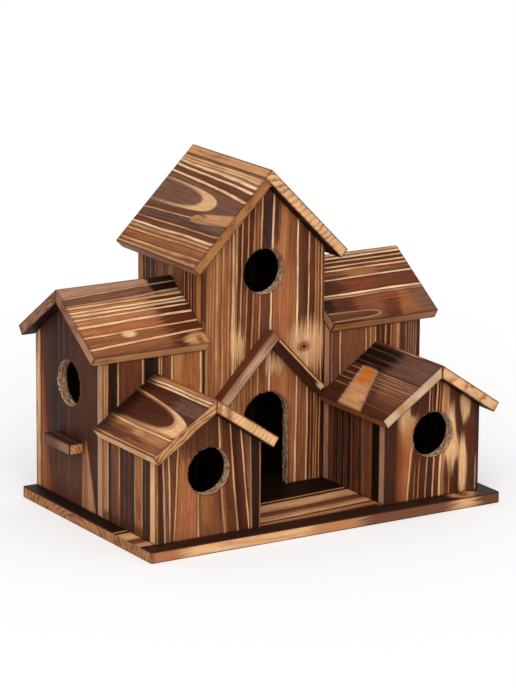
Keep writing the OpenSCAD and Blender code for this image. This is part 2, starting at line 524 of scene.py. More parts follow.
class GrainShop:
    """The shader groups that all the boards share, each made once."""

    COMB_REACH = 4.5
    made: dict[str, NodeTree] = {}

    @classmethod
    def get(cls, name: str) -> NodeTree:
        """Finds a shared group, and makes it where it is wanted for the first time.

        Args:
            name: what the group draws, such as knot.

        Returns:
            The group.
        """
        if name not in cls.made:
            cls.made[name] = getattr(cls, "make_" + name)()
        return cls.made[name]

    @staticmethod
    def make_field() -> NodeTree:
        """Where a point lies in the grain: along it, across its rings, and in from the face.

        Returns:
            The group.
        """
        desk, have, give = new_group(
            "grain field", ("Along", "Across", "Depth", "Drifted", "Slope", "Length", "Waver", "Seed"),
            ("Place", "*Streaks", "*Fibres", "*Blots", "*Hairs"))
        seed_step, ring_slant, wave_height, ripple_height = 17.3, 1.3, 2.2, 0.9
        along, across, depth = have["Along"], have["Across"], have["Depth"]
        shift = desk.times(have["Seed"], seed_step)

        def stretched(long: float, wide: float, deep: float, place: object) -> Socket:
            """A vector that is stretched along the grain."""
            return desk.vector(desk.plus(desk.over(along, long), shift), desk.over(place, wide),
                               desk.over(depth, deep))

        share = desk.over(along, have["Length"])
        place = desk.plus(desk.times(across, desk.minus(1.0, share)),
                          desk.times(have["Drifted"], share))
        place = desk.minus(place, desk.times(along, have["Slope"]))
        place = desk.plus(place, desk.times(depth, ring_slant))
        wave = desk.noise(stretched(70, 28, 30, across), 1.0, 1.0)
        place = desk.plus(place, desk.times(wave, desk.times(have["Waver"], wave_height)))
        ripple = desk.noise(stretched(17, 4, 4, across), 1.0, 2.0)
        place = desk.plus(place, desk.times(ripple, ripple_height))
        desk.feed(give["Place"], place)
        desk.feed(give["Streaks"], stretched(38, 1.6, 2, place))
        desk.feed(give["Fibres"], stretched(9, 0.7, 0.7, place))
        desk.feed(give["Blots"], stretched(30, 9, 12, place))
        desk.feed(give["Hairs"], stretched(110, 1.25, 2, place))
        return desk.tree

    @staticmethod
    def make_spot() -> NodeTree:
        """How far a point is inside a soft-edged spot.

        Returns:
            The group.
        """
        desk, have, give = new_group(
            "burnt spot",
            ("Along", "Across", "Streak", "At Along", "At Across", "Half Along", "Half Across",
             "Slant", "Soft", "Feather"), ("Inside",))
        off_across = desk.minus(have["Across"], have["At Across"])
        off_along = desk.minus(have["Along"], have["At Along"])
        off_along = desk.minus(off_along, desk.times(off_across, have["Slant"]))
        off_along = desk.plus(off_along, desk.times(
            have["Streak"], desk.times(have["Feather"], GrainShop.COMB_REACH)))
        reach = desk.reach(desk.over(off_along, have["Half Along"]),
                           desk.over(off_across, have["Half Across"]))
        low, high = desk.minus(1.0, have["Soft"]), desk.plus(1.0, have["Soft"])
        desk.feed(give["Inside"], desk.spread(reach, low, high, 1.0, 0.0, "SMOOTHSTEP"))
        return desk.tree

    @staticmethod
    def make_patch() -> NodeTree:
        """How far a point is inside a stretch between two places and two rings.

        Returns:
            The group.
        """
        desk, have, give = new_group(
            "burnt stretch",
            ("Along", "Across", "Streak", "Start", "Stop", "Low", "High", "Soft", "Soft Across", "Comb",
             "Lean Start", "Lean Stop", "Sway Low", "Sway High"), ("Inside",))
        along = desk.plus(have["Along"], desk.times(
            have["Streak"], desk.times(have["Comb"], GrainShop.COMB_REACH)))
        rise = desk.minus(have["Across"], have["Low"])
        run = desk.minus(have["Along"], have["Start"])

        def step(place: object, border: object, soft: object, rising: bool) -> Socket:
            """How far a place is past a soft border, from 0 to 1."""
            ends = (0.0, 1.0) if rising else (1.0, 0.0)
            return desk.spread(place, desk.minus(border, soft), desk.plus(border, soft), *ends,
                               "SMOOTHSTEP")

        start = desk.plus(have["Start"], desk.times(rise, have["Lean Start"]))
        stop = desk.plus(have["Stop"], desk.times(rise, have["Lean Stop"]))
        inside = desk.times(step(along, start, have["Soft"], True),
                            step(along, stop, have["Soft"], False))
        for border, sway, rising in (("Low", "Sway Low", True), ("High", "Sway High", False)):
            place = desk.plus(have[border], desk.times(run, have[sway]))
            inside = desk.times(inside, step(have["Across"], place, have["Soft Across"], rising))
        desk.feed(give["Inside"], inside)
        return desk.tree

    @staticmethod
    def make_tongue() -> NodeTree:
        """How far a point is inside a tongue-shaped figure.

        Returns:
            The group.
        """
        desk, have, give = new_group(
            "tongue figure",
            ("Along", "Across", "Tip", "Axis", "Half Width", "Blunt", "Soft", "Towards", "Skew"),
            ("Inside",))
        behind = desk.times(desk.minus(have["Tip"], have["Along"]), have["Towards"])
        run = desk.math("MAXIMUM", behind, 0.0)
        past = desk.math("MAXIMUM", desk.times(behind, -1.0), 0.0)
        width = desk.times(have["Half Width"], desk.math(
            "SQRT", desk.over(run, desk.plus(run, have["Blunt"]))))
        axis = desk.minus(have["Axis"], desk.times(run, have["Skew"]))
        away = desk.math("ABSOLUTE", desk.minus(have["Across"], axis))
        inside = desk.minus(desk.minus(width, away), desk.times(past, 0.5))
        low = desk.times(have["Soft"], -1.0)
        desk.feed(give["Inside"], desk.spread(inside, low, have["Soft"], 0.0, 1.0, "SMOOTHSTEP"))
        return desk.tree

    @staticmethod
    def make_knot() -> NodeTree:
        """How far a point is from a knot's heart, as a share of the knot's size.

        Returns:
            The group.
        """
        desk, have, give = new_group(
            "knot", ("Along", "Across", "Wobble", "At Along", "At Across", "Size"), ("Reach",))
        stretch_across, unevenness = 1.3, 0.35
        off_along = desk.minus(have["Along"], have["At Along"])
        off_across = desk.over(desk.minus(have["Across"], have["At Across"]), stretch_across)
        reach = desk.over(desk.reach(off_along, off_across), have["Size"])
        desk.feed(give["Reach"], desk.plus(reach, desk.times(have["Wobble"], unevenness)))
        return desk.tree

    @staticmethod
    def make_sawn() -> NodeTree:
        """Sawn edges and ends: rings round the tree's heart, blots and a thin scorch.

        Returns:
            The group.
        """
        desk, have, give = new_group(
            "sawn wood", ("*Fibres", "Along", "Across", "Depth", "Heart Across", "Heart Depth", "Step",
                          "Show", "Lean", "Burn", "Seed", "+Plain", "+Ring"), ("+Colour",))

        def noise_at(long: float, wide: float, deep: float, shift: float) -> Socket:
            """Noise that is stretched along, across and through the board."""
            depth = desk.plus(desk.over(have["Depth"], deep), desk.times(have["Seed"], shift))
            return desk.noise(desk.vector(desk.over(have["Along"], long),
                                          desk.over(have["Across"], wide), depth), 1.0, 2.0)

        rise_from, rise_to, fall_from, ring_unevenness = 0.25, 0.85, 0.88, 1.7
        reach = desk.reach(desk.minus(have["Across"], have["Heart Across"]),
                           desk.minus(have["Depth"], have["Heart Depth"]))
        reach = desk.plus(reach, desk.times(have["Along"], have["Lean"]))
        turn = desk.plus(desk.over(reach, have["Step"]),
                         desk.times(noise_at(55, 16, 9, 1.3), ring_unevenness))
        wave = desk.math("FRACT", turn)
        rising = desk.spread(wave, rise_from, rise_to, 0.0, 1.0, "SMOOTHSTEP")
        ring = desk.times(rising, desk.spread(wave, fall_from, 1.0, 1.0, 0.0))
        blot = noise_at(34, 13, 8, 2.9)
        grain = desk.noise(have["Fibres"], 1.0, 3.0, 0.65)
        fade = desk.spread(blot, -0.22, 0.2, 0.25, 1.25)
        ring = desk.times(desk.times(ring, fade), have["Show"], clamp=True)
        colour = desk.mix(ring, have["Plain"], have["Ring"])
        shade = desk.plus(1.02, desk.plus(desk.times(grain, 0.5),
                                          desk.times(noise_at(26, 20, 14, 4.1), 0.7)))
        colour = desk.mix(1.0, colour, desk.vector(shade, shade, shade), "MULTIPLY")
        scorch = desk.spread(desk.plus(have["Burn"], desk.times(blot, 1.3)), 0.16, 0.8, 0.0, 1.0)
        desk.feed(give["Colour"], desk.mix(scorch, colour, UMBER.linear()))
        return desk.tree


class WoodPainter:
    """Builds the material of one torched board from its face's description."""

    # Lines that one ramp holds, how far a ramp goes on past its last tone or line, and how near
    # two lines lie to share the dark between them. Then a line's pale core as a share of its
    # width, the step down to its dark flanks, how far these fade before and after it, and how
    # far the border between near and far tones wanders.
    MAX_LINES = 5
    MARGIN = 6.0
    LINE_MARGIN = 1.0
    NEAR_LINES = 4.0
    CORE = 0.4
    FLANK_STEP = 0.5
    FADES = (1.2, 1.8)
    RAGGED = 60.0

    def __init__(self, name: str, lay: Lay, face: TorchedFace) -> None:
        """Takes up the work on a board.

        Args:
            name: the material's name.
            lay: how the board lies.
            face: what is seen on it.
        """
        self.face, self.lay = face, lay
        self.material, self.desk = new_material(name)

    def paint(self) -> Material:
        """Lays every layer of the finish, from the ground up.

        Returns:
            The material.
        """
        desk, face = self.desk, self.face
        self.start()
        colour = self.ground(face.ground)
        if face.far:
            turned = desk.plus(self.along, desk.times(self.blot, self.RAGGED))
            late = desk.spread(turned, face.far_from, face.far_to, 0.0, 1.0, "SMOOTHSTEP")
            colour = desk.mix(late, colour, self.ground(face.far))
        colour = self.marked(colour, False)
        for tongue in face.tongues:
            colour = self.tongue(colour, tongue)
        colour = self.ring_lines(colour, face.lines)
        for run in face.runs:
            colour = self.ring_lines(colour, run.lines, self.stretch(run))
        colour = self.marked(colour, True)
        for knot in face.knots:
            colour = self.knot(colour, knot)
        colour = self.arris(self.sawn(self.fibres(colour)))
        rough = desk.spread(desk.plus(self.streak, self.fibre), -0.4, 0.4, 0.62, 0.46)
        bump = desk.node("ShaderNodeBump", {"Strength": 0.35, "Distance": 0.25 * MM,
                                            "Height": self.height})
        shader = desk.node("ShaderNodeBsdfPrincipled", {
            "Base Color": colour, "Specular IOR Level": 0.08, "Roughness": rough,
            "Normal": bump.outputs[0]})
        desk.node("ShaderNodeOutputMaterial", {0: shader.outputs[0]})
        return self.material

    def start(self) -> None:
        """Finds the place in the grain and the streaks that every layer reads."""
        desk, face = self.desk, self.face
        coords = desk.node("ShaderNodeTexCoord").outputs["Object"]
        self.point = desk.node("ShaderNodeMapping", {
            "Vector": coords, "Scale": (1 / MM, 1 / MM, 1 / MM),
            "Rotation": self.lay.turn().to_euler(), "Location": self.lay.shift()},
            vector_type="POINT").outputs[0]
        self.along, self.board_across, depth = desk.node("ShaderNodeSeparateXYZ", {0: self.point}).outputs
        self.depth = desk.math("ABSOLUTE", depth)
        outs = desk.group(
            GrainShop.get("field"), Along=self.along, Across=self.board_across, Depth=self.depth,
            Drifted=self.drifted(), Slope=face.slope, Length=face.length, Waver=face.waver,
            Seed=float(face.seed)).outputs
        self.across, self.fine = outs["Place"], outs["Fibres"]
        self.streak = desk.noise(outs["Streaks"], 1.0, 2.0, 0.55)
        self.fibre = desk.noise(self.fine, 1.0, 3.0, 0.6)
        self.blot = desk.noise(outs["Blots"], 1.0, 2.0, 0.5)
        self.hair = desk.noise(outs["Hairs"], 1.0, 1.0, 0.5)
        self.height = self.fibre

    def drifted(self) -> Socket:
        """Where the ring that meets the board's far end here lies at its near end.

        Returns:
            The place across the board, in millimetres.
        """
        desk = self.desk
        pairs = sorted((end, start) for start, end in self.face.drift)
        if not pairs:
            return self.board_across
        low, high = pairs[0][0], pairs[-1][0]
        values = [v for pair in pairs for v in pair]
        least, most = min(values), max(values)
        stops = []
        for end, start in pairs:
            level = (start - least) / (most - least)
            stops.append(((end - low) / (high - low), (level, level, level, 1)))
        where = desk.spread(self.board_across, low, high, 0.0, 1.0)
        level = desk.ramp(where, stops).outputs[0]
        inside = desk.plus(desk.times(level, most - least), least)
        held = desk.plus(desk.times(where, high - low), low)
        return desk.plus(inside, desk.minus(self.board_across, held))

    def across_ramp(self, stops: Stops, margin: float) -> Node:
        """A colour ramp across the board's rings.

        Args:
            stops: places in millimetres and colours, in rising order.
            margin: how far it goes on before the first and past the last, in millimetres.

        Returns:
            The ramp node.
        """
        low, high = stops[0][0] - margin, stops[-1][0] + margin
        places = [((at - low) / (high - low), colour) for at, colour in stops]
        return self.desk.ramp(self.desk.spread(self.across, low, high, 0.0, 1.0), places)

    def ground(self, tones: tuple[tuple[float, Tone], ...]) -> Socket:
        """The board's broad tones, side by side across it."""
        stops = [(at, tone.linear()) for at, tone in sorted(tones, key=lambda s: s[0])]
        return self.across_ramp(stops, self.MARGIN).outputs[0]

    def line_stops(self, part: list[Line]) -> Stops:
        """Stops of a ramp that draws lines with a darker flank on each side.

        Args:
            part: the lines, in rising order.

        Returns:
            Places in millimetres with their tones, whose opacity says how strongly they show.
        """
        flank, show = self.face.flank, self.face.flank_show
        stops: Stops = []
        for before, line, after in zip([None, *part], part, [*part[1:], None]):
            core = self.CORE * line.width
            reach = core + self.FLANK_STEP
            if before is None or line.at - before.at > self.NEAR_LINES:
                stops += [(line.at - reach - self.FADES[0], flank.linear(0.0)),
                          (line.at - reach, flank.linear(show * line.show * 0.8))]
            else:
                stops.append(((line.at + before.at) / 2, flank.linear(show * line.show)))
            stops += [(line.at - core, line.tone.linear(line.show)),
                      (line.at + core, line.tone.linear(line.show))]
            if after is None or after.at - line.at > self.NEAR_LINES:
                stops += [(line.at + reach, flank.linear(show * line.show)),
                          (line.at + reach + self.FADES[1], flank.linear(0.0))]
        return stops

    def stretch(self, run: Run) -> Socket:
        """How far a point is inside the stretch on which some lines show.

        Args:
            run: the stretch and its lines.

        Returns:
            A value from 0 outside it to 1 inside.
        """
        desk = self.desk
        along = desk.plus(self.along, desk.times(self.streak, 2.0 * run.fade))
        begun = desk.spread(along, run.start - run.fade, run.start + run.fade, 0.0, 1.0)
        ended = desk.spread(along, run.stop - run.fade, run.stop + run.fade, 1.0, 0.0)
        return desk.times(begun, ended)

    def ring_lines(self, colour: object, given: tuple[Line, ...], where: object = 1.0) -> Socket:
        """The thin pale lines of late wood, in as many ramps as they need.

        Args:
            colour: the colour that they lie on.
            given: the lines.
            where: how much of them shows, from 0 to 1.

        Returns:
            The colour with the lines on it.
        """
        desk = self.desk
        todo = sorted(given, key=lambda line: line.at)
        for first in range(0, len(todo), self.MAX_LINES):
            stops = self.line_stops(todo[first:first + self.MAX_LINES])
            node = self.across_ramp(stops, self.LINE_MARGIN)
            vary = desk.plus(1.0, desk.plus(desk.times(self.streak, 1.3),
                                            desk.times(self.blot, 1.2)))
            show = desk.times(node.outputs["Alpha"], desk.times(vary, where), clamp=True)
            colour = desk.mix(show, colour, node.outputs[0])
        return colour

    def laid(self, colour: object, inside: object, show: float, tone: Tone) -> Socket:
        """Lays a tone over a colour, where a point is inside a figure."""
        return self.desk.mix(self.desk.times(inside, show), colour, tone.linear())

    def marked(self, colour: object, over_lines: bool) -> object:
        """Lays the patches and then the spots.

        Args:
            colour: the colour under them.
            over_lines: whether to lay those that lie over the lines, or those under them.

        Returns:
            The colour with them on it.
        """
        for patch in self.face.patches:
            if patch.over_lines is over_lines:
                colour = self.patch(colour, patch, self.along)
        for spot in self.face.spots:
            if spot.over_lines is over_lines:
                colour = self.spot(colour, spot)
        return colour

    def patch(self, colour: object, patch: Patch, along: object, across: object = None) -> Socket:
        """Lays one burnt or unburnt stretch over a colour.

        Args:
            colour: the colour under it.
            patch: the stretch.
            along: the place along the board.
            across: the place across it, where that isn't the growth ring's place.

        Returns:
            The colour with the stretch on it.
        """
        if across is None:
            across = self.across if patch.by_rings else self.board_across
        node = self.desk.group(
            GrainShop.get("patch"), Along=along, Across=across, Streak=self.streak, Start=patch.start,
            Stop=patch.stop, Low=patch.low, High=patch.high, Soft=patch.soft,
            Soft_Across=patch.soft_across, Comb=patch.comb, Lean_Start=patch.lean[0],
            Lean_Stop=patch.lean[1], Sway_Low=patch.sway[0], Sway_High=patch.sway[1])
        return self.laid(colour, node.outputs[0], patch.show, patch.tone)

    def spot(self, colour: object, spot: Spot) -> Socket:
        """Lays one burnt or unburnt spot over a colour."""
        node = self.desk.group(
            GrainShop.get("spot"), Along=self.along, Across=self.board_across, Streak=self.streak,
            At_Along=spot.along, At_Across=spot.across, Half_Along=spot.half_along,
            Half_Across=spot.half_across, Slant=spot.slant, Soft=spot.soft, Feather=spot.feather)
        return self.laid(colour, node.outputs[0], spot.show, spot.tone)

    def tongue(self, colour: object, tongue: Tongue) -> Socket:
        """Lays one tongue figure over a colour."""
        node = self.desk.group(
            GrainShop.get("tongue"), Along=self.along, Across=self.board_across, Tip=tongue.tip,
            Axis=tongue.axis, Half_Width=tongue.half_width, Blunt=tongue.blunt, Soft=tongue.soft,
            Towards=float(tongue.towards), Skew=tongue.skew)
        return self.laid(colour, node.outputs[0], tongue.show, tongue.tone)

    def knot(self, colour: object, knot: Knot) -> Socket:
        """Lays one knot over a colour.

        Args:
            colour: the colour under it.
            knot: the knot.

        Returns:
            The colour with the knot on it.
        """
        wobble = self.desk.noise(self.point, 0.35, 2.0)
        node = self.desk.group(
            GrainShop.get("knot"), Along=self.along, Across=self.board_across, Wobble=wobble,
            At_Along=knot.along, At_Across=knot.across, Size=knot.size)
        rings = ((0.0, CHAR, 1.0), (0.16, CHAR, 1.0), (0.22, knot.heart, 1.0),
                 (0.42, knot.heart, 1.0), (0.5, knot.ring, 1.0), (0.56, knot.ring, 0.8),
                 (0.66, knot.heart, 0.45), (0.76, knot.ring, 0.55), (0.84, knot.heart, 0.25),
                 (1.0, knot.heart, 0.0))
        ramp = self.desk.ramp(node.outputs[0], [(at, tone.linear(show)) for at, tone, show in rings])
        return self.desk.mix(ramp.outputs["Alpha"], colour, ramp.outputs[0])

    def fibres(self, colour: object) -> Socket:
        """Lightens and darkens a colour by its blots, streaks, fibres and fine hair lines.

        Args:
            colour: the colour.

        Returns:
            The colour, redder where it is darker, as torched wood is.
        """
        desk, face = self.desk, self.face
        hair = desk.spread(self.hair, 0.06, 0.2, 0.0, face.hair, "SMOOTHSTEP")
        fibre_depth, plain_shade, least_shade = 0.85, 0.97, 0.15
        shade = desk.plus(desk.times(self.streak, face.streak), desk.times(self.fibre, fibre_depth))
        shade = desk.plus(desk.plus(shade, desk.times(self.blot, face.burn)), hair)
        shade = desk.math("MAXIMUM", desk.plus(plain_shade, shade), least_shade)
        # The board's gain, partly its own tone and partly painted light for how the light falls on that
        # side.
        shade = desk.times(shade, face.tone_and_light_gain)
        self.height = desk.plus(self.fibre, hair)
        tint = desk.vector(shade, desk.math("POWER", shade, 1.26), desk.math("POWER", shade, 1.35))
        return desk.mix(1.0, colour, tint, "MULTIPLY")

    def sawn(self, colour: object) -> Socket:
        """Puts the sawn edges, sawn ends and hole reveals in their places, and paints the inner face near
        black as painted shade.

        Args:
            colour: the colour of the show face.

        Returns:
            The colour of all the board's surfaces.
        """
        desk, face = self.desk, self.face
        for zone, kind, shift in ((Zone.EDGE, face.edge, 3.1), (Zone.END, face.end, 5.7)):
            made = desk.group(
                GrainShop.get("sawn"), Fibres=self.fine, Along=self.along, Across=self.board_across,
                Depth=self.depth, Heart_Across=kind.heart[0], Heart_Depth=kind.heart[1],
                Step=kind.step, Show=kind.show, Lean=kind.lean, Burn=kind.burn,
                Seed=face.seed * shift, Plain=kind.plain.linear(),
                Ring=kind.ring.linear()).outputs["Colour"]
            length = self.along if zone is Zone.EDGE else self.board_across
            for mark in kind.marks:
                made = self.patch(made, mark, length, self.depth)
            colour = desk.mix(desk.mark(zone.value), colour, made)
        colour = desk.mix(desk.mark(Zone.REVEAL.value), colour, self.reveal())
        # The back face is painted near black: painted shade for the inside of the box and under the
        # eaves.
        return self.laid(colour, desk.mark(Zone.INNER.value), 0.93, face.inner)

    def reveal(self) -> Socket:
        """The bare, torn wood inside a hole, with the board's layers as fine lines round it, painted
        paler than it is as painted light.

        Returns:
            The colour of the hole's wall.
        """
        desk = self.desk
        speck = desk.noise(self.point, 0.8, 4.0, 0.7)
        layer = desk.noise(desk.vector(desk.over(self.depth, 0.7), self.streak, 0.0), 1.0, 1.0)
        rub = desk.plus(desk.times(speck, 1.4), desk.times(layer, 1.3))
        # Tones up to bone: partly the bare wood's own colour and partly painted light, set paler to make
        # up for the shade inside the hole.
        stops = ((0.0, UMBER), (0.3, COCOA), (0.5, ASH_LIGHT), (0.75, FIBRE), (1.0, BONE))
        return desk.ramp(desk.spread(rub, -0.5, 0.55, 0.0, 1.0),
                         [(at, tone.linear()) for at, tone in stops]).outputs[0]

    def arris(self, colour: object) -> Socket:
        """Scorches the arrises, and rubs them through in places.

        Args:
            colour: the colour of the board's surfaces.

        Returns:
            The colour with its arrises.
        """
        desk = self.desk
        near = desk.spread(desk.mark("arris"), 0.55, 1.0, 0.0, 1.0, "SMOOTHSTEP")
        vary = desk.plus(self.face.arris_show, desk.times(self.streak, 0.8))
        return desk.mix(desk.times(near, vary, clamp=True), colour, self.face.arris.linear())


# ---- Boards


@dataclass(frozen=True)
class Hole:
    """A round hole or the arched doorway's crown through a board: its middle and its radius."""

    middle: Vec3
    radius: float
    jamb: float = 0.0


@dataclass(frozen=True)
class Rim:
    """The rim of a hole: its points, which way the hole's middle lies from each, and the way in."""

    points: tuple[Vec3, ...]
    inwards: tuple[Vec3, ...]
    way: Vec3
    closed: bool


@dataclass
class Board:
    """One board, made from its plain solid: arrises eased, reveals roughened, then dressed."""

    # How deep the inner face starts, how far a hole's wall may stray from its radius, the least
    # width for a margin as a share of it, and how far above the jambs' feet the fibres stop.
    BEHIND = 4.0
    HOLE_SLACK = 0.6
    ROOM_FOR_MARGIN = 2.2
    FOOT_GAP = 1.5
    RIM_STEPS = 48
    # The rows across a hole's wall, the fineness and height of its two roughnesses, and how deep
    # it is torn on the whole, in millimetres.
    ROUGH_ROWS = 7
    ROUGHNESS = ((900, 0.22), (350, 0.16))
    TORN_DEPTH = 0.12

    node: str
    slot: str
    lay: Lay
    face: TorchedFace
    holes: tuple[Hole, ...] = ()
    ease: float = 0.7
    rim: float = 3.2
    sharp_angle: float = math.radians(25)
    name: str = field(init=False)

    def __post_init__(self) -> None:
        """Names the piece after its board."""
        self.name = self.node + "_torched"

    def build(self) -> Object:
        """Makes the finished piece.

        Returns:
            The piece's object, dressed and put on the one body.
        """
        shape = self.solid()
        self.ease_arrises(shape)
        self.inset_faces(shape)
        self.roughen_reveals(shape)
        mesh = bpy.data.meshes.new(self.name)
        marks = self.marks(shape)
        shape.to_mesh(mesh)
        shape.free()
        for name, values in marks.items():
            layer = mesh.attributes.new(name, "FLOAT", "FACE")
            layer.data.foreach_set("value", values)
        piece = new_object(self.name, mesh)
        mesh.materials.append(self.face.painted(self.name, self.lay))
        declare(piece, self.slot, self.node)
        return piece

    def solid(self) -> BMesh:
        """Copies the board's plain solid.

        Returns:
            The copy, merged, with its flat faces made whole.
        """
        shape = bmesh.new()
        shape.from_mesh(bpy.data.objects[self.node].data)
        shape.verts.layers.float.new("arris")
        shape.faces.layers.float.new("worn")
        bmesh.ops.remove_doubles(shape, verts=shape.verts[:], dist=1e-6)
        bmesh.ops.dissolve_limit(shape, angle_limit=math.radians(0.5), use_dissolve_boundaries=False,
                                 verts=shape.verts[:], edges=shape.edges[:])
        shape.normal_update()
        return shape

    def ease_arrises(self, shape: BMesh) -> None:
        """Rounds every sharp edge a little, as sanding does.

        Args:
            shape: the board's mesh.
        """
        sharp = [e for e in shape.edges if len(e.link_faces) == 2
                 and e.calc_face_angle(0.0) > self.sharp_angle]
        made = bmesh.ops.bevel(shape, geom=sharp, offset=self.ease * MM, offset_type="OFFSET",
                               segments=2, profile=0.5, affect="EDGES", clamp_overlap=True)
        worn = shape.faces.layers.float["worn"]
        for face in made["faces"]:
            face[worn] = 1.0
        arris = shape.verts.layers.float["arris"]
        for vert in shape.verts:
            vert[arris] = 1.0
        shape.normal_update()

    def inset_faces(self, shape: BMesh) -> None:
        """Gives every flat face a margin, on which the scorched arris fades out.

        Args:
            shape: the board's mesh.
        """
        arris = shape.verts.layers.float["arris"]
        for faces in self.flat_regions(shape):
            size = math.sqrt(sum(f.calc_area() for f in faces))
            if min(size, self.narrowest(faces)) < self.ROOM_FOR_MARGIN * self.rim * MM:
                continue
            bmesh.ops.inset_region(shape, faces=faces, thickness=self.rim * MM,
                                   use_boundary=True, use_even_offset=True)
            for vert in {v for f in faces for v in f.verts}:
                vert[arris] = 0.0

    def flat_regions(self, shape: BMesh) -> list[list[BMFace]]:
        """Finds the board's flat faces.

        Args:
            shape: the board's mesh.

        Returns:
            Each one as the list of the mesh faces that it is made of.
        """
        worn = shape.faces.layers.float["worn"]
        todo = [f for f in shape.faces if f[worn] < 0.5 and not self.in_hole(f)]
        left, regions = set(todo), []
        for first in todo:
            if first not in left:
                continue
            left.discard(first)
            region = [first]
            for face in region:
                for edge in face.edges:
                    if len(edge.link_faces) != 2 or edge.calc_face_angle(1.0) > 0.01:
                        continue
                    for other in edge.link_faces:
                        if other in left:
                            left.discard(other)
                            region.append(other)
            regions.append(region)
        return regions

    def narrowest(self, faces: list[BMFace]) -> float:
        """Measures how narrow a flat face is.

        Args:
            faces: the mesh faces that it is made of.

        Returns:
            Its least extent, in metres.
        """
        points = [self.lay.turn() @ v.co for f in faces for v in f.verts]
        spans = sorted(max(p[k] for p in points) - min(p[k] for p in points) for k in range(3))
        return spans[1]

    def in_hole(self, face: BMFace) -> bool:
        """Whether a face belongs to the wall of a hole.

        Args:
            face: the mesh face.

        Returns:
            True on a round wall or on a doorway's jamb.
        """
        turn = self.lay.turn()
        if abs((turn @ face.normal).z) > 0.5:
            return False
        middle = self.lay.local(face.calc_center_median())
        for hole in self.holes:
            centre = self.lay.local(Vector(hole.middle) * MM)
            off = Vector((middle.x - centre.x, middle.y - centre.y))
            if off.length < hole.radius + self.HOLE_SLACK:
                return True
            if 0 < off.x < hole.jamb and abs(abs(off.y) - hole.radius) < self.HOLE_SLACK:
                return True
        return False

    def rims(self) -> list[Rim]:
        """Finds the rims of the board's holes.

        Returns:
            The rims, on its show face.
        """
        back = self.lay.turn().transposed()
        found = []
        for hole in self.holes:
            sweep, last = (0.5, self.RIM_STEPS - 1) if hole.jamb else (1.0, self.RIM_STEPS)
            turns = [2 * math.pi * (sweep * (k / last)) for k in range(self.RIM_STEPS)]
            rays = [Vector((-math.sin(t), -math.cos(t), 0)) for t in turns]
            places = [ray * hole.radius for ray in rays]
            if hole.jamb:
                foot = Vector((hole.jamb - self.FOOT_GAP, 0, 0))
                places = [places[0] + foot, *places, places[-1] + foot]
                rays = [rays[0], *rays, rays[-1]]
            middle = Vector(hole.middle)
            found.append(Rim(tuple(tuple(middle + back @ p) for p in places),
                             tuple(tuple(back @ -r) for r in rays),
                             tuple(back @ Vector((0, 0, -1))), not hole.jamb))
        return found

    def roughen_reveals(self, shape: BMesh) -> None:
        """Cuts the walls of the holes into rows and pushes them in and out a little.

        Args:
            shape: the board's mesh.
        """
        worn = shape.faces.layers.float["worn"]
        walls = [f for f in shape.faces if self.in_hole(f) and f[worn] < 0.5]
        if not walls:
            return
        turn = self.lay.turn()
        through = {e for f in walls for e in f.edges
                   if abs((turn @ (e.verts[0].co - e.verts[1].co).normalized()).z) > 0.9}
        made = bmesh.ops.subdivide_edges(shape, edges=list(through), cuts=self.ROUGH_ROWS,
                                           use_grid_fill=True)
        inner = [v for v in made["geom_inner"] if isinstance(v, BMVert)]
        for vert in [v for v in inner if all(len(f.verts) == 4 for f in v.link_faces)]:
            push = sum(noise.noise(vert.co * fine) * height for fine, height in self.ROUGHNESS)
            vert.co -= vert.normal * (push + self.TORN_DEPTH) * MM
        shape.normal_update()

    def marks(self, shape: BMesh) -> dict[str, list[float]]:
        """The values that tell the finish which kind of surface is where.

        Args:
            shape: the finished mesh.

        Returns:
            Lists of values by attribute name, one value for each face.
        """
        turn = self.lay.turn()
        found: dict[str, list[float]] = {zone.value: [] for zone in Zone}
        layer = shape.faces.layers.float["worn"]
        for face in shape.faces:
            way = turn @ face.normal
            middle = self.lay.local(face.calc_center_median())
            hole = self.in_hole(face)
            flat = abs(way.z) > 0.75
            worn = face[layer] > 0.5
            sawn = not (hole or flat or worn)
            kinds = {
                Zone.REVEAL: hole,
                Zone.INNER: flat and abs(middle.z) > self.BEHIND,
                Zone.END: sawn and abs(way.x) > abs(way.y),
                Zone.EDGE: sawn and abs(way.x) <= abs(way.y),
            }
            for zone, value in kinds.items():
                found[zone.value].append(float(value))
            face.smooth = worn or hole
        return found


def declare(piece: Object, slot: str, *nodes: str) -> None:
    """Hides the plain nodes that a piece replaces, if any, and puts the piece on the one body.

    Args:
        piece: the finished piece.
        slot: not used.
        nodes: the plain nodes that it replaces.
    """
    if nodes:
        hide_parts(*nodes)
    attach(piece, "root")
    LOG.info("%s: %d faces", piece.name, len(piece.data.polygons))


# ---- Torn fibres in the holes


@dataclass(frozen=True)
class TornWood:
    """The finish of the torn fibres: bare wood, some of it singed."""

    singed: Tone = ASH
    bare: Tone = FIBRE
    fresh: Tone = BONE

    def painted(self) -> Material:
        """Makes the material.

        Returns:
            The material, which reads each fibre's own tint.
        """
        material, desk = new_material("torn_wood")
        coords = desk.node("ShaderNodeTexCoord").outputs["Object"]
        speck = desk.noise(coords, 0.9 / MM, 2.0)
        tint = desk.plus(desk.mark("tint"), desk.times(speck, 0.5))
        colour = desk.ramp(tint, [(0.0, self.singed.linear()), (0.45, self.bare.linear()),
                                  (1.0, self.fresh.linear())]).outputs[0]
        shader = desk.node("ShaderNodeBsdfPrincipled", {
            "Base Color": colour, "Roughness": 0.75, "Specular IOR Level": 0.1})
        desk.node("ShaderNodeOutputMaterial", {0: shader.outputs[0]})
        return material


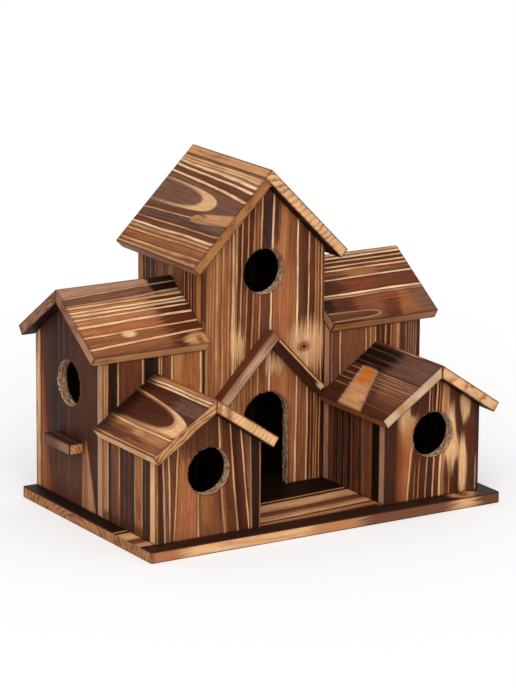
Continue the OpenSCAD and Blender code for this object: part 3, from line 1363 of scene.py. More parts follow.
@dataclass
class TornFibres:
    """Short fibres that the saw tore up round the walls of the holes and the doorway."""

    rims: list[Rim]
    spacing: float = 1.1
    rows: int = 6
    length: float = 2.6
    width: float = 0.42
    thickness: float = 0.2
    depth: float = 7.9
    seed: int = 12

    def build(self) -> Object:
        """Grows the fibres along every rim.

        Returns:
            The one piece that holds them all.
        """
        piece = new_object("torn_fibres", self.wires())
        tree = self.tree()
        grow = piece.modifiers.new("grow", "NODES")
        grow.node_group = tree
        values = {"Spacing": self.spacing * MM, "Rows": self.rows, "Length": self.length * MM,
                  "Width": self.width * MM, "Thickness": self.thickness * MM,
                  "Depth": self.depth * MM, "Seed": self.seed, "Finish": TornWood().painted()}
        for item in tree.interface.items_tree:
            if item.name in values:
                grow[item.identifier] = values[item.name]
        bpy.context.view_layer.update()
        ready = piece.evaluated_get(bpy.context.evaluated_depsgraph_get())
        mesh = bpy.data.meshes.new_from_object(ready)
        piece.modifiers.remove(grow)
        piece.data = mesh
        declare(piece, "wall_wood")
        return piece

    def wires(self) -> Mesh:
        """Draws the rims as lines.

        Returns:
            The lines, with the ways in and inwards on their points.
        """
        points, edges, inwards, ways = [], [], [], []
        for rim in self.rims:
            first, count = len(points), len(rim.points)
            points += [tuple(Vector(p) * MM) for p in rim.points]
            inwards += rim.inwards
            ways += [rim.way] * count
            edges += [(first + k, first + k + 1) for k in range(count - 1)]
            if rim.closed:
                edges.append((first + count - 1, first))
        mesh = bpy.data.meshes.new("torn_fibres_rims")
        mesh.from_pydata(points, edges, [])
        for name, values in (("inwards", inwards), ("way", ways)):
            layer = mesh.attributes.new(name, "FLOAT_VECTOR", "POINT")
            layer.data.foreach_set("vector", [v for value in values for v in value])
        return mesh

    def tree(self) -> NodeTree:
        """The tree that grows fibres along lines.

        Returns:
            The tree, with named inputs for every size.
        """
        tree = bpy.data.node_groups.new("torn fibres", "GeometryNodeTree")
        for kind, names in (("Geometry", ("Geometry",)),
                            ("Float", ("Spacing", "Length", "Width", "Thickness", "Depth")),
                            ("Int", ("Rows", "Seed")), ("Material", ("Finish",))):
            for name in names:
                tree.interface.new_socket(name, in_out="INPUT", socket_type="NodeSocket" + kind)
        tree.interface.new_socket("Geometry", in_out="OUTPUT", socket_type="NodeSocketGeometry")
        desk = Desk(tree)
        have = desk.node("NodeGroupInput").outputs
        curve = desk.node("GeometryNodeMeshToCurve", {"Mesh": have["Geometry"]})
        dots = desk.node("GeometryNodeCurveToPoints",
                         {"Curve": curve.outputs[0], "Length": have["Spacing"]}, mode="LENGTH")
        more = desk.node("GeometryNodeDuplicateElements", {
            "Geometry": dots.outputs["Points"], "Amount": have["Rows"]}, domain="POINT")
        way, inwards = (desk.node("GeometryNodeInputNamedAttribute", {"Name": name},
                                  data_type="FLOAT_VECTOR").outputs[0] for name in ("way", "inwards"))

        def chance(low: float, high: float, shift: int) -> Socket:
            """A random number for each fibre.

            Args:
                low: the least that it can be.
                high: the most that it can be.
                shift: sets it apart from the tree's other random numbers.

            Returns:
                The number's socket.
            """
            made = desk.node("FunctionNodeRandomValue",
                             {"Seed": desk.plus(have["Seed"], float(shift))}, data_type="FLOAT")
            floats = [socket for socket in made.inputs if socket.type == "VALUE"]
            floats[0].default_value, floats[1].default_value = low, high
            return next(socket for socket in made.outputs if socket.type == "VALUE")

        def vector(kind: str, *feeds: object) -> Socket:
            """The result of a Vector Math node."""
            keys = (0, "Scale" if kind == "SCALE" else 1)
            return desk.node("ShaderNodeVectorMath", dict(zip(keys, feeds)), operation=kind).outputs[0]

        deep = desk.times(desk.math("POWER", chance(0.0, 1.0, 1), 1.4), have["Depth"])
        place = desk.node("GeometryNodeSetPosition", {
            "Geometry": more.outputs["Geometry"],
            "Offset": vector("ADD", vector("SCALE", way, desk.plus(deep, 0.5 * MM)),
                             vector("SCALE", inwards, chance(-0.2 * MM, 0.05 * MM, 2)))})
        sliver = desk.node("GeometryNodeMeshCone", {
            "Vertices": 4, "Radius Top": 0.3, "Radius Bottom": 1.0, "Depth": 1.0})
        tilt = vector("ADD", vector("SCALE", inwards, chance(-0.03, 0.09, 3)),
                      vector("SCALE", way, chance(-0.2, 0.2, 7)))
        lie = desk.node("FunctionNodeAlignRotationToVector", {
            "Vector": vector("ADD", vector("CROSS_PRODUCT", way, inwards), tilt)}, axis="Z")
        face = desk.node("FunctionNodeAlignRotationToVector", {
            "Rotation": lie.outputs[0], "Vector": inwards}, axis="X", pivot_axis="Z")
        size = desk.vector(have["Thickness"], desk.times(have["Width"], chance(0.6, 1.5, 5)),
                           desk.times(have["Length"], chance(0.4, 1.25, 4)))
        spread = desk.node("GeometryNodeInstanceOnPoints", {
            "Points": place.outputs[0], "Instance": sliver.outputs["Mesh"],
            "Rotation": face.outputs[0], "Scale": size})
        tint = desk.node("GeometryNodeStoreNamedAttribute", {
            "Geometry": spread.outputs[0], "Name": "tint"}, data_type="FLOAT", domain="INSTANCE")
        value = next(socket for socket in tint.inputs if socket.name == "Value" and socket.enabled)
        desk.feed(value, chance(0.0, 1.0, 6))
        real = desk.node("GeometryNodeRealizeInstances", {0: tint.outputs[0]})
        finish = desk.node("GeometryNodeSetMaterial", {
            "Geometry": real.outputs[0], "Material": have["Finish"]})
        desk.node("NodeGroupOutput", {0: finish.outputs[0]})
        return tree


# ---- The finishes of the boards

TOWER_FRONT = TorchedFace(
    ground=((0, BROWN), (4, BROWN), (8, AMBER), (11, COPPER), (14, OCHRE), (17, AMBER), (19, BROWN),
            (22, COPPER), (26, COPPER), (28.5, BROWN), (33, BROWN), (36, UMBER), (39, UMBER), (43, COCOA),
            (46, UMBER), (50, MAROON), (55, COCOA), (59, UMBER), (64, COCOA), (70, UMBER), (73, OCHRE),
            (79, COPPER), (87, COPPER), (93, OCHRE), (96, BROWN), (102, UMBER), (106, COCOA),
            (110, UMBER), (114, COCOA), (120, BROWN)),
    far=((0, BROWN), (6, OCHRE), (13, COPPER), (20, AMBER), (28, COPPER), (35, AMBER), (40, OCHRE),
         (46, COPPER), (52, BROWN), (58, OCHRE), (64, BROWN), (70, OCHRE), (76, COPPER), (86, COPPER),
         (92, COPPER), (95, OCHRE), (99, BROWN), (104, OCHRE), (107, UMBER), (112, BROWN), (118, DARK)),
    far_from=138, far_to=170,
    lines=(lines(AMBER, 1.0, 7, 12, 27, 46.5, 52.5, 112, 115) + lines(TAN, 1.6, 15.5, 21, 35, show=0.7)
           + lines(TAN, 1.1, 40.5, 59.5, 118) + lines(PALE, 1.3, 31, 105.5)
           + lines(BONE, 1.5, 70.5, 94) + lines(COPPER, 0.7, 24.5, 56, 76, 88, show=0.6)),
    runs=(Run(88, 122, lines(PALE, 1.3, 33.2)), Run(165, 270, lines(COPPER, 1.0, 98, 101, 109))),
    patches=(Patch(10, 54, 61, 69.5, PLUM, 0.9, soft=6, comb=7),
             Patch(8, 48, 72, 77, PLUM, 0.85, soft=6, comb=7),
             Patch(40, 88, 36.5, 50, DARK, 0.75, soft=10, soft_across=2, comb=10),
             Patch(34, 74, 84, 93, MAROON, 0.6, soft=12, soft_across=3, comb=8),
             Patch(40, 66, 95.5, 104.5, MAROON, 0.6, soft=7, comb=9),
             Patch(66, 128, 95.5, 104.5, DARK, 0.55, soft=10, soft_across=2, comb=9),
             Patch(88, 126, 106.5, 111, MAROON, 0.7, soft=8, comb=9),
             Patch(68, 112, -2, 5, DARK, 0.8, soft=8, comb=9),
             Patch(16, 60, 78, 85, AMBER, 0.6, soft=8, soft_across=2, comb=8),
             Patch(122, 146, 29, 45, PALE, 0.85, soft=6, soft_across=2, comb=11, over_lines=True),
             Patch(144, 161, 67, 82, PALE, 0.8, soft=5, soft_across=3, comb=8, over_lines=True),
             Patch(166, 270, 106.5, 118, DARK, 0.8, soft=8)),
    spots=(Spot(142, 104, 19, 18, PALE, 0.85, soft=0.6, feather=9, over_lines=True),),
    knots=(Knot(142, 101, 6.5, OCHRE, BROWN),),
    edge=Sawn(AMBER), length=262, tone_and_light_gain=1.0, waver=0.9, seed=3,
    drift=((0, 0), (7, 4.5), (15.5, 13), (21, 19.5), (27, 24.5), (31, 31), (35, 32.5), (40.5, 36),
           (46.5, 40.5), (52.5, 46), (59.5, 53), (70.5, 63), (94, 93.5), (105.5, 104), (112, 111.5),
           (118, 117)))

TOWER_SLOPE = TorchedFace(
    ground=((9.5, AMBER), (13, TAN), (16, AMBER), (20, BROWN), (26, UMBER), (30, BROWN), (37, ASH),
            (60, ASH), (66, UMBER), (72, ASH), (80, UMBER), (86, BROWN), (94, OCHRE), (101, BROWN),
            (107, OCHRE)),
    lines=(lines(PALE, 1.0, 12, 14.5) + lines(BONE, 1.6, 17.5, 21.8, 28.5)
           + lines(TAN, 1.0, 78, 92, 101, 105) + lines(BONE, 1.5, 84.5)
           + lines(TAN, 0.9, 69, 88)),
    spots=(Spot(60, 72, 60, 5, DARK, 0.45, feather=20),
           Spot(88, 60, 7, 1.2, BROWN, 0.8, feather=2, over_lines=True)),
    tongues=(Tongue(94, 48, 14.0, 28, PALE, soft=0.7),
             Tongue(73, 48, 14.4, 35, OCHRE, soft=2.0, show=0.6),
             Tongue(70, 48, 13.6, 35, ASH, soft=1.8),
             Tongue(66, 48, 8.5, 30, BROWN, soft=2.0, show=0.5),
             Tongue(74, 65, 6.2, 14, TAN, towards=-1, skew=0.157)),
    edge=Sawn(ASH_LIGHT, BROWN, step=2.4, show=0.5),
    end=Sawn(AMBER, UMBER, (60, 130), 2.3, 0.75, burn=0.2), length=128, tone_and_light_gain=0.92, seed=5,
    drift=((9.5, 9.5), (12, 13), (14.5, 15.5), (17.5, 21.5), (21.8, 26), (28.5, 36), (36, 44), (69, 61),
           (78, 74), (84.5, 80.5), (88, 85), (92, 88.5), (101, 98), (105, 105)))

TOWER_CAP = plain_face(11, 107.5, edge=Sawn(TAN, OCHRE),
                       end=Sawn(PALE, BROWN, (-30, -32), 5.5, 0.75, burn=0.0))

TOWER_SIDE = plain_face(13, 105.5, edge=Sawn(AMBER))

# The ash tones near this slope's ridge are partly painted sheen.
LEFT_WING_SLOPE = TorchedFace(
    ground=((0, ASH_LIGHT), (11, ASH_LIGHT), (13, BROWN), (20, ASH), (22, OCHRE), (27, AMBER),
            (31, COPPER), (34, AMBER), (40, AMBER), (44, COPPER), (48, COPPER), (52, COPPER), (55, OCHRE),
            (60, OCHRE), (64, BROWN), (69, OCHRE), (71, OCHRE), (79, BROWN)),
    lines=(lines(ROSE_TAN, 0.9, 12.5, 21, show=0.8) + lines(PALE, 1.8, 23.5, 57, 70)
           + lines(BONE, 2.4, 45.5) + lines(BONE, 1.2, 28.5, 32.5, 37)
           + lines(COPPER, 0.7, 77, show=0.4)),
    patches=(Patch(84, 125, -3, 16, SOOT, 0.97, soft=1.5, comb=3, by_rings=False),
             Patch(84, 125, 16.8, 20, SOOT, 0.95, soft=1.5, comb=3, by_rings=False),
             Patch(77, 125, 20.5, 90, MAROON, 0.93, soft=5, comb=9, by_rings=False),
             Patch(90, 125, 34, 42, DARK, 0.7, soft=6, by_rings=False)),
    spots=(Spot(42, 58, 6, 3.3, BONE, 0.9, soft=0.5, feather=1.0, over_lines=True),
           Spot(101, 75, 12, 9, TAN, 0.85, feather=3, over_lines=True)),
    knots=(Knot(102, 74, 4.4, COPPER, BROWN),),
    edge=Sawn(TAN, OCHRE, step=3.4, show=0.5),
    end=Sawn(ASH_LIGHT, UMBER, (30, 50), 3.4, 0.9, burn=0.35,
             marks=(Patch(50, 90, -1, 11, TAN, 0.5, soft=15),)),
    length=105, tone_and_light_gain=0.97, waver=0.7, hair=0.2, seed=7,
    drift=((0, 0), (12.5, 7), (21, 15.5), (23.5, 21), (28.5, 26), (32.5, 30), (37, 34), (45.5, 42),
           (57, 53), (70, 63), (79, 72)))

RIGHT_WING_SLOPE = TorchedFace(
    ground=((0, UMBER), (6, UMBER), (11, MAROON), (16, UMBER), (20, RUST), (25, BROWN), (29, UMBER),
            (31, MAROON), (38, RUST), (46, MAROON), (48, OCHRE), (52, RUST), (60, RUST), (79, UMBER)),
    lines=(lines(BONE, 1.4, 6.5, 30, 20.5) + lines(PALE, 1.3, 2.5, 11, 16)
           + lines(COPPER, 0.9, 25) + lines(ROSE_TAN, 0.9, 50.8) + lines(BONE, 1.9, 47.6)),
    patches=(Patch(40, 70, 20, 29, AMBER, 0.8, soft=6, comb=6),
             Patch(-5, 30, 31, 47, DARK, 0.75, soft=6, comb=8),
             Patch(30, 65, 31, 46, RUST, 0.5, soft=6, comb=8),
             Patch(65, 115, 31, 46, UMBER, 0.85, soft=6, comb=8),
             Patch(28, 62, 52, 82, BROWN, 0.6, soft=8, comb=6),
             Patch(60, 74, 60, 82, MAROON, 0.7, soft=5, comb=3, lean=(-0.37, -0.37)),
             Patch(12, 30, 52, 82, DARK, 0.8, soft=5, comb=6),
             Patch(-5, 12, 52, 82, SOOT, 0.95, soft=4, comb=5),
             Patch(80, 118, 52, 82, OCHRE, 0.75, soft=2.5, comb=2, lean=(-0.37, 0)),
             Patch(88, 118, 52, 82, ASH, 0.8, soft=6)),
    tongues=(Tongue(51, 72, 6.0, 12, ASH_LIGHT, soft=0.6),
             Tongue(48.5, 72, 4.6, 12, UMBER, soft=0.6)),
    edge=Sawn(AMBER, UMBER, step=3.0,
              marks=(Patch(60, 120, -1, 11, ASH_LIGHT, 0.5, soft=20),)),
    end=Sawn(ASH_LIGHT, UMBER), tone_and_light_gain=0.95, slope=-0.01, hair=0.15, seed=9)

# The part of a wing's front wall that is shut inside a house, painted near black: painted shade.
INSIDE_HOUSE_SHADE = Patch(75, 160, 8, 91, SOOT, 0.97, soft=1, comb=0, by_rings=False, over_lines=True)

LEFT_WING_FRONT = TorchedFace(
    ground=((0, TAN), (4.5, AMBER), (5.5, CHAR), (13.3, CHAR), (14.5, UMBER), (18, UMBER), (27, UMBER),
            (36, UMBER), (38.5, OCHRE), (39.5, SOOT), (52, CHAR), (54.5, DARK), (57, UMBER), (62, COCOA),
            (65, BROWN), (67, AMBER), (73, AMBER), (75, OCHRE), (84, OCHRE), (91, COPPER), (93.5, TAN),
            (95, DARK), (97, DARK), (98.5, PALE)),
    lines=(lines(TAN, 1.0, 1.5) + lines(ROSE_TAN, 1.3, 14.5) + lines(TAN, 1.5, 37.8)
           + lines(TAN, 0.8, 53.5, 55.5) + lines(PALE, 1.3, 65.5)
           + lines(BONE, 1.6, 93)),
    patches=(INSIDE_HOUSE_SHADE,),
    edge=Sawn(ROSE_TAN, COPPER, show=0.4, burn=0.05), hair=0.25, waver=0.7, tone_and_light_gain=1.02, seed=11)

RIGHT_WING_FRONT = TorchedFace(
    ground=((0, COCOA), (3, UMBER), (5, COCOA), (10, UMBER), (12, COCOA), (24, BROWN), (36, COCOA),
            (38, BROWN), (42, OCHRE), (46.5, BROWN), (47.5, DARK), (49.5, DARK), (51, BROWN), (53, DARK),
            (55, DARK), (57, BROWN), (58.5, DARK), (60.5, DARK), (63, BROWN), (67, OCHRE),
            (69.5, ROSE_TAN), (71, UMBER), (73, MAROON), (90, MAROON), (95, DARK)),
    lines=(lines(TAN, 1.0, 10.5, 36.5, 41, 46) + lines(AMBER, 1.0, 56.5, 62)
           + lines(ASH_LIGHT, 0.8, 2, 77, 80, 82.5, 85, 87.5, show=0.6)),
    patches=(INSIDE_HOUSE_SHADE,),
    edge=Sawn(ROSE_TAN, COPPER), hair=0.35, tone_and_light_gain=1.05, seed=13)

LEFT_END_WALL = TorchedFace(
    ground=((9, UMBER), (11, MAROON), (25, DARK), (34, CHAR), (60, DARK), (80, DARK), (88, DARK),
            (105, DARK)),
    runs=(Run(-5, 62, lines(COCOA, 0.9, 41, 50, 62)), Run(98, 190, lines(ASH, 0.8, 41, 57)),
          Run(128, 190, lines(ROSE_TAN, 1.0, 81.5))),
    patches=(Patch(140, 195, 24, 90, UMBER, 0.6, soft=16, comb=8),
             Patch(20, 110, 70, 104, MAROON, 0.5, soft=20, soft_across=6, comb=10),
             Patch(72, 195, 5, 13, RUST, 0.85, soft=12, soft_across=1.2, comb=1, sway=(0, 0.13),
                   by_rings=False),
             Patch(84, 195, 5, 10, COPPER, 0.55, soft=14, soft_across=3, comb=1, sway=(0, 0.09),
                   by_rings=False),
             Patch(124, 195, 84, 89, COPPER, 0.9, soft=7, soft_across=1.2, comb=1,
                   sway=(-0.1, 0.26), by_rings=False),
             Patch(134, 195, 88, 91, ROSE_TAN, 0.6, soft=9, soft_across=2, comb=1,
                   sway=(0.06, 0.22), by_rings=False)),
    edge=Sawn(COPPER), hair=0.15, streak=0.9, seed=15)

RIGHT_END_WALL = plain_face(17, 106.0, edge=Sawn(COPPER))
BACK_OF_WING = plain_face(19, 100.0, edge=Sawn(PALE, OCHRE, step=3.2, show=0.95, burn=0.3))
BACK_OF_TOWER = plain_face(21, 122.0, edge=Sawn(AMBER))
WING_BACK_SLOPE = plain_face(23, 79.0, 0.35, edge=Sawn(AMBER),
                             end=Sawn(ASH_LIGHT, UMBER, (30, 50), 3.4, 0.9, burn=0.35))

PERCH = TorchedFace(
    ground=((0, SOOT), (5, CHAR), (9, CHAR), (13.5, PLUM)),
    lines=lines(BROWN, 0.7, 3, 7, show=0.4),
    edge=Sawn(ASH, COCOA, step=2.6, show=0.8,
              marks=(Patch(26, 50, -1, 11, ASH_LIGHT, 0.6, soft=8),)),
    end=Sawn(TAN, BROWN, (20, 14), 3.2, 0.8, burn=0.1), hair=0.1, seed=25)

LEFT_HOUSE_SLOPE = TorchedFace(
    ground=((0, OCHRE), (3, AMBER), (8, UMBER), (12, DARK), (20, MAROON), (30, MAROON), (49, OCHRE),
            (53, OCHRE), (58, AMBER), (66, BROWN), (71, OCHRE)),
    lines=(lines(BONE, 1.2, 6, 9.5) + lines(RUST, 0.8, 49.3, show=0.8)
           + lines(PALE, 1.4, 51.5) + lines(TAN, 1.0, 69.5)
           + lines(AMBER, 0.8, 60, show=0.4)),
    patches=(Patch(60, 105, 12, 25, ASH, 0.7, soft=8, comb=6),
             Patch(58, 105, 53, 60, AMBER, 0.7, soft=8, comb=6),
             Patch(56, 105, 61, 68, BROWN, 0.7, soft=8, comb=6)),
    spots=(Spot(25, 62, 40, 6, MAROON, 0.85, feather=16),
           Spot(52, 56, 9, 3, TAN, 0.6, feather=4),
           Spot(-2, 35, 17, 60, SOOT, 0.85, soft=0.5, feather=4, over_lines=True)),
    tongues=(Tongue(104, 41, 20, 42, PALE, soft=0.6, skew=0.05),
             Tongue(86, 38.5, 17, 36, AMBER, soft=2.4, skew=0.04, show=0.7),
             Tongue(80, 37, 16.3, 36, MAROON, soft=2.2, skew=0.03),
             Tongue(66, 35, 15, 40, DARK, soft=3.0, show=0.8)),
    edge=Sawn(PALE, ROSE_TAN, show=0.4, burn=0.0),
    end=Sawn(TAN, UMBER, (36, 120), 3.4, 0.9, burn=0.1), waver=1.0, hair=0.2, seed=27)

LEFT_HOUSE_FAR_SLOPE = plain_face(
    29, 71.2, 0.4, edge=Sawn(BROWN),
    end=Sawn(PALE, OCHRE, (-30, -14), 4.2, 0.45, burn=0.0,
             marks=(Patch(2, 6, -1, 11, OCHRE, 0.8, soft=1.5, comb=1, lean=(0.5, 0.5)),
                    Patch(10, 17, -1, 11, BROWN, 0.7, soft=2.5, comb=1, lean=(0.6, 0.6)))))

RIGHT_HOUSE_FAR_SLOPE = plain_face(
    30, 71.2, 0.4, edge=Sawn(AMBER),
    end=Sawn(PALE, COPPER, (-40, -26), 17, 1.0, burn=0.05))

# The ash patch and the ash lines on this slope are partly painted sheen.
RIGHT_HOUSE_SLOPE = TorchedFace(
    ground=((0, RUST), (3, DARK), (5, SOOT), (26, SOOT), (27.5, CHAR), (28.5, BROWN), (50, BROWN),
            (54, COCOA), (58, UMBER), (71, DARK)),
    patches=(Patch(47, 105, 3, 27, ASH, 0.9, soft=9, comb=6),
             Patch(-5, 15, 28, 75, DARK, 0.95, soft=3, lean=(0, 0.3), comb=2),
             Patch(37, 50, 28.3, 75, MAROON, 0.8, soft=4, lean=(0.6, 0.6), comb=3),
             Patch(14.5, 38, 28.3, 75, ROSE_TAN, 0.9, soft=1.5, lean=(0.35, 0.62), comb=1),
             Patch(17, 35.5, 28.3, 49, ORANGE, 0.97, soft=2.0, soft_across=3, lean=(0.35, 0.6),
                   comb=1.5),
             Patch(23.5, 45, 45, 78, TAN, 0.95, soft=2.5, soft_across=4, lean=(0.35, 0.65),
                   comb=1.5)),
    runs=(Run(44, 105, lines(ASH_LIGHT, 0.8, 29.5, 32, 35, 38.5, 42, 46.5, show=0.55)),
          Run(55, 105, lines(ASH, 0.9, 53, 62, show=0.7)),
          Run(-5, 50, lines(ASH, 0.7, 9, 17, 24, show=0.5)),
          Run(33, 68, lines(TAN, 1.2, 1.2))),
    spots=tuple(Spot(10, at, 10, 0.7, ROSE_TAN, 0.45, soft=0.6, slant=-3, feather=1, over_lines=True)
                for at in (32, 39, 45, 52)),
    edge=Sawn(OCHRE, UMBER, burn=0.25),
    end=Sawn(FIBRE, TAN, (40, 70), 6.5, 0.6, burn=0.0,
             marks=(Patch(48, 56, -1, 11, AMBER, 0.7, soft=3, comb=1),
                    Patch(10, 18, -1, 11, ROSE_TAN, 0.6, soft=5, comb=1))),
    hair=0.1, streak=0.7, waver=0.4, seed=31)

LEFT_HOUSE_OUTER = TorchedFace(
    ground=((0, COPPER), (7, AMBER), (9.3, AMBER), (10, SOOT), (13, CHAR), (15, COCOA), (24, COCOA),
            (27, OCHRE), (29.5, DARK), (49, DARK), (52, DARK), (54, OCHRE), (63, OCHRE), (64.5, TAN),
            (66, CHAR), (76, PLUM)),
    lines=(lines(PALE, 1.2, 8.3) + lines(ROSE_TAN, 1.1, 53) + lines(TAN, 1.0, 64.5)
           + lines(BROWN, 0.8, 18, 22, 36, 43, 70, show=0.6)),
    runs=(Run(-5, 62, lines(TAN, 1.5, 27)),),
    patches=(Patch(82, 105, -5, 80, DARK, 0.7, soft=3, comb=3, over_lines=True),),
    spots=(Spot(67, 59, 9, 4, RUST, 0.8, feather=3),),
    hair=0.3, waver=0.7, tone_and_light_gain=1.02, seed=33)

RIGHT_HOUSE_INNER = TorchedFace(
    ground=((0, COCOA), (7, UMBER), (8.5, CHAR), (33, CHAR), (34.5, BROWN), (36.5, MAROON), (49, DARK),
            (51, BROWN), (54, BROWN), (55.5, COCOA), (61, COCOA), (63, BROWN), (66, UMBER), (67, SOOT),
            (77, SOOT)),
    lines=lines(ASH, 0.8, 10.5, 15, 19, 24, 28, 41, 45, show=0.8),
    hair=0.2, tone_and_light_gain=1.12, seed=35)

HOUSE_HIDDEN_SIDE = plain_face(37, 86.0, edge=Sawn(AMBER))

LEFT_HOUSE_FRONT = TorchedFace(
    ground=((0, CHAR), (1.2, OCHRE), (2.5, DARK), (5.3, DARK), (7, BROWN), (10.5, BROWN), (13, UMBER),
            (15, COCOA), (21, UMBER), (23.5, OCHRE), (30, COPPER), (37, COPPER), (40, BROWN), (45, OCHRE),
            (50, BROWN), (56.5, UMBER), (59.5, OCHRE), (61, UMBER), (66.5, UMBER), (69, CHAR),
            (74, MAROON), (79, UMBER), (83, BROWN), (86.5, RUST), (88, CHAR), (96.5, CHAR), (98, OCHRE)),
    lines=(lines(AMBER, 0.9, 1) + lines(ROSE_TAN, 1.2, 6, 86) + lines(PALE, 1.4, 11.5)
           + lines(TAN, 0.9, 22, show=0.7) + lines(TAN, 1.3, 58, 68)
           + lines(PALE, 1.1, 77.5) + lines(TAN, 1.0, 98)),
    runs=(Run(68, 112, lines(TAN, 0.9, 38.5)), Run(10, 40, lines(BROWN, 0.8, 28, 36, 47, show=0.6))),
    patches=(Patch(-5, 42, 23.5, 57, DARK, 0.75, soft=7, soft_across=1.5, comb=6),
             Patch(-5, 36, 60, 67, DARK, 0.5, soft=7),
             Patch(96, 112, 40, 58, BROWN, 0.8, soft=3),
             Patch(60, 105, 80, 86, COPPER, 0.5, soft=10)),
    edge=Sawn(PALE, TAN, show=0.4, burn=0.0), length=108, hair=0.2, waver=0.6, tone_and_light_gain=0.98, seed=39,
    drift=((1, 1), (6, 9), (11.5, 13.5), (22, 17), (32, 30), (38.5, 40), (58, 65), (68, 77.5), (77.5, 88),
           (86, 90), (98, 98)))

RIGHT_HOUSE_FRONT = TorchedFace(
    ground=((0, DARK), (12, DARK), (15, UMBER), (26, UMBER), (32, MAROON), (43, MAROON), (45.5, DARK),
            (51, DARK), (53, MAROON), (57, UMBER), (59, AMBER), (62, COPPER), (64.5, UMBER), (70, MAROON),
            (76, DARK), (84, UMBER), (95, CHAR)),
    lines=(lines(ROSE_TAN, 1.1, 44.5) + lines(PALE, 1.2, 52)
           + lines(AMBER, 1.0, 61, show=0.8)),
    runs=(Run(80, 112, lines(OCHRE, 1.2, 32)), Run(76, 112, lines(AMBER, 0.9, 36.5, 67)),
          Run(74, 112, lines(PALE, 2.0, 58.5)), Run(82, 112, lines(ASH_LIGHT, 1.4, 91.5)),
          Run(-5, 40, lines(OCHRE, 0.8, 47.5, 55))),
    patches=(Patch(36, 118, 12, 31, RUST, 0.85, soft=5, soft_across=2.5, comb=1,
                   sway=(0, -0.13), by_rings=False),
             Patch(40, 118, 17, 30, COPPER, 0.65, soft=8, soft_across=3, comb=1,
                   sway=(0, -0.13), by_rings=False),
             Patch(46, 67, 30.4, 31.8, TAN, 0.85, soft=3, soft_across=0.6, comb=0,
                   sway=(-0.24, -0.23), by_rings=False),
             Patch(64, 118, 25.6, 26.8, PALE, 0.85, soft=3, soft_across=0.6, comb=0,
                   sway=(-0.09, -0.08), by_rings=False)),
    spots=(Spot(35, 22, 13, 8, PALE, 0.95, soft=0.5, feather=1.5),
           Spot(47, 24, 12, 8, AMBER, 0.75, soft=0.7, feather=1.5),
           Spot(60, 66, 27, 9, PALE, 0.95, soft=0.35, feather=4),
           Spot(26, 60, 18, 3.4, TAN, 0.9, soft=0.4, feather=4),
           Spot(85, 78.5, 26, 4.2, PALE, 0.95, soft=0.35, feather=4),
           Spot(33, 80, 13, 5.2, PALE, 0.9, soft=0.35, feather=3),
           Spot(44, 73.5, 17, 4.0, DARK, 0.95, slant=1.9, feather=2),
           Spot(92, 72, 15, 2.6, DARK, 0.9, feather=3),
           Spot(88, 61.5, 12, 2.2, MAROON, 0.85, feather=3),
           Spot(60, 85, 15, 5, MAROON, 0.95, slant=1.0, feather=3),
           Spot(29, 28.5, 7, 4, DARK, 0.95, soft=0.3, feather=2, over_lines=True)),
    edge=Sawn(ROSE_TAN, ASH, show=0.3, burn=0.1), length=108, hair=0.15, streak=0.9,
    tone_and_light_gain=1.0, seed=41, drift=((0, 0), (44.5, 41), (52, 48.5), (58.5, 55), (66, 64), (95, 95)))

CANOPY_LEFT = TorchedFace(
    ground=((0, ASH_LIGHT), (3, ROSE_TAN), (7, ROSE_TAN), (9.5, ASH_LIGHT)),
    patches=(Patch(-10, 6, -2, 12, COCOA, 0.7, soft=8, comb=2),),
    edge=Sawn(UMBER, MAROON, burn=0.3), end=Sawn(TAN, AMBER), streak=1.3, burn=1.3,
    waver=0.4, hair=0.1, seed=43)

CANOPY_RIGHT = TorchedFace(
    ground=((0, DARK), (0.9, UMBER), (1.6, TAN), (2.4, TAN), (3.2, DARK), (5, CHAR), (9.5, DARK)),
    patches=(Patch(68, 90, -2, 5, PALE, 0.9, soft=3, soft_across=1.5, comb=3),),
    edge=Sawn(UMBER), end=Sawn(PALE, TAN), waver=0.3, hair=0.1, seed=45)

BASE = TorchedFace(
    ground=((0, SOOT), (34, SOOT), (38.7, CHAR), (40.3, TAN), (42, DARK), (45, DARK), (46.5, TAN),
            (53, PALE), (61, TAN), (63.5, UMBER), (66, COCOA), (71, COCOA), (73, COPPER), (77, AMBER),
            (79, TAN), (81, PALE), (83, TAN), (84.5, DARK), (86, DARK), (87.5, AMBER), (93, COPPER),
            (95, DARK), (100, CHAR), (118, CHAR)),
    lines=lines(PALE, 1.2, 40.3, 76, 80, 82.5),
    patches=(Patch(-10, 350, 82.5, 112, CHAR, 0.97, soft_across=1.6, comb=2, by_rings=False,
                   over_lines=True),
             Patch(232, 262, 74, 83, ROSE_TAN, 0.8, soft=5, soft_across=2, by_rings=False,
                   over_lines=True)),
    spots=(Spot(308, 91, 12, 9, TAN, 0.9, soft=0.4, feather=2, over_lines=True),),
    knots=(Knot(308, 90, 7.0, OCHRE, DARK),),
    edge=Sawn(PALE, AMBER, (40, 90), 4.2, 0.5, lean=0.03, burn=0.0,
              marks=(Patch(-10, 30, -2, 12, COPPER, 0.9, soft=10, comb=6),
                     Patch(150, 205, -2, 12, AMBER, 0.9, soft=14, comb=8),
                     Patch(200, 294, -2, 12, COCOA, 0.95, soft=12, comb=8),
                     Patch(316, 360, -2, 12, UMBER, 0.95, soft=8, comb=6))),
    end=Sawn(AMBER, UMBER, (-20, 48), 5.2, 0.8, burn=0.15),
    slope=-0.07, waver=1.5, seed=47)


# ---- The sub-assemblies

DOWN: Vec3 = (0, 0, -1)
RIGHT: Vec3 = (1, 0, 0)
LEFTWARDS: Vec3 = (-1, 0, 0)
FORWARD: Vec3 = (0, -1, 0)
BACKWARD: Vec3 = (0, 1, 0)


class Side(Enum):
    """The two sides of the nest box, as seen from the front."""

    LEFT = "left"
    RIGHT = "right"


def fall(pitch: float) -> tuple[float, float]:
    """How far a slope of that many degrees runs and drops for each unit of its length."""
    return math.cos(math.radians(pitch)), math.sin(math.radians(pitch))


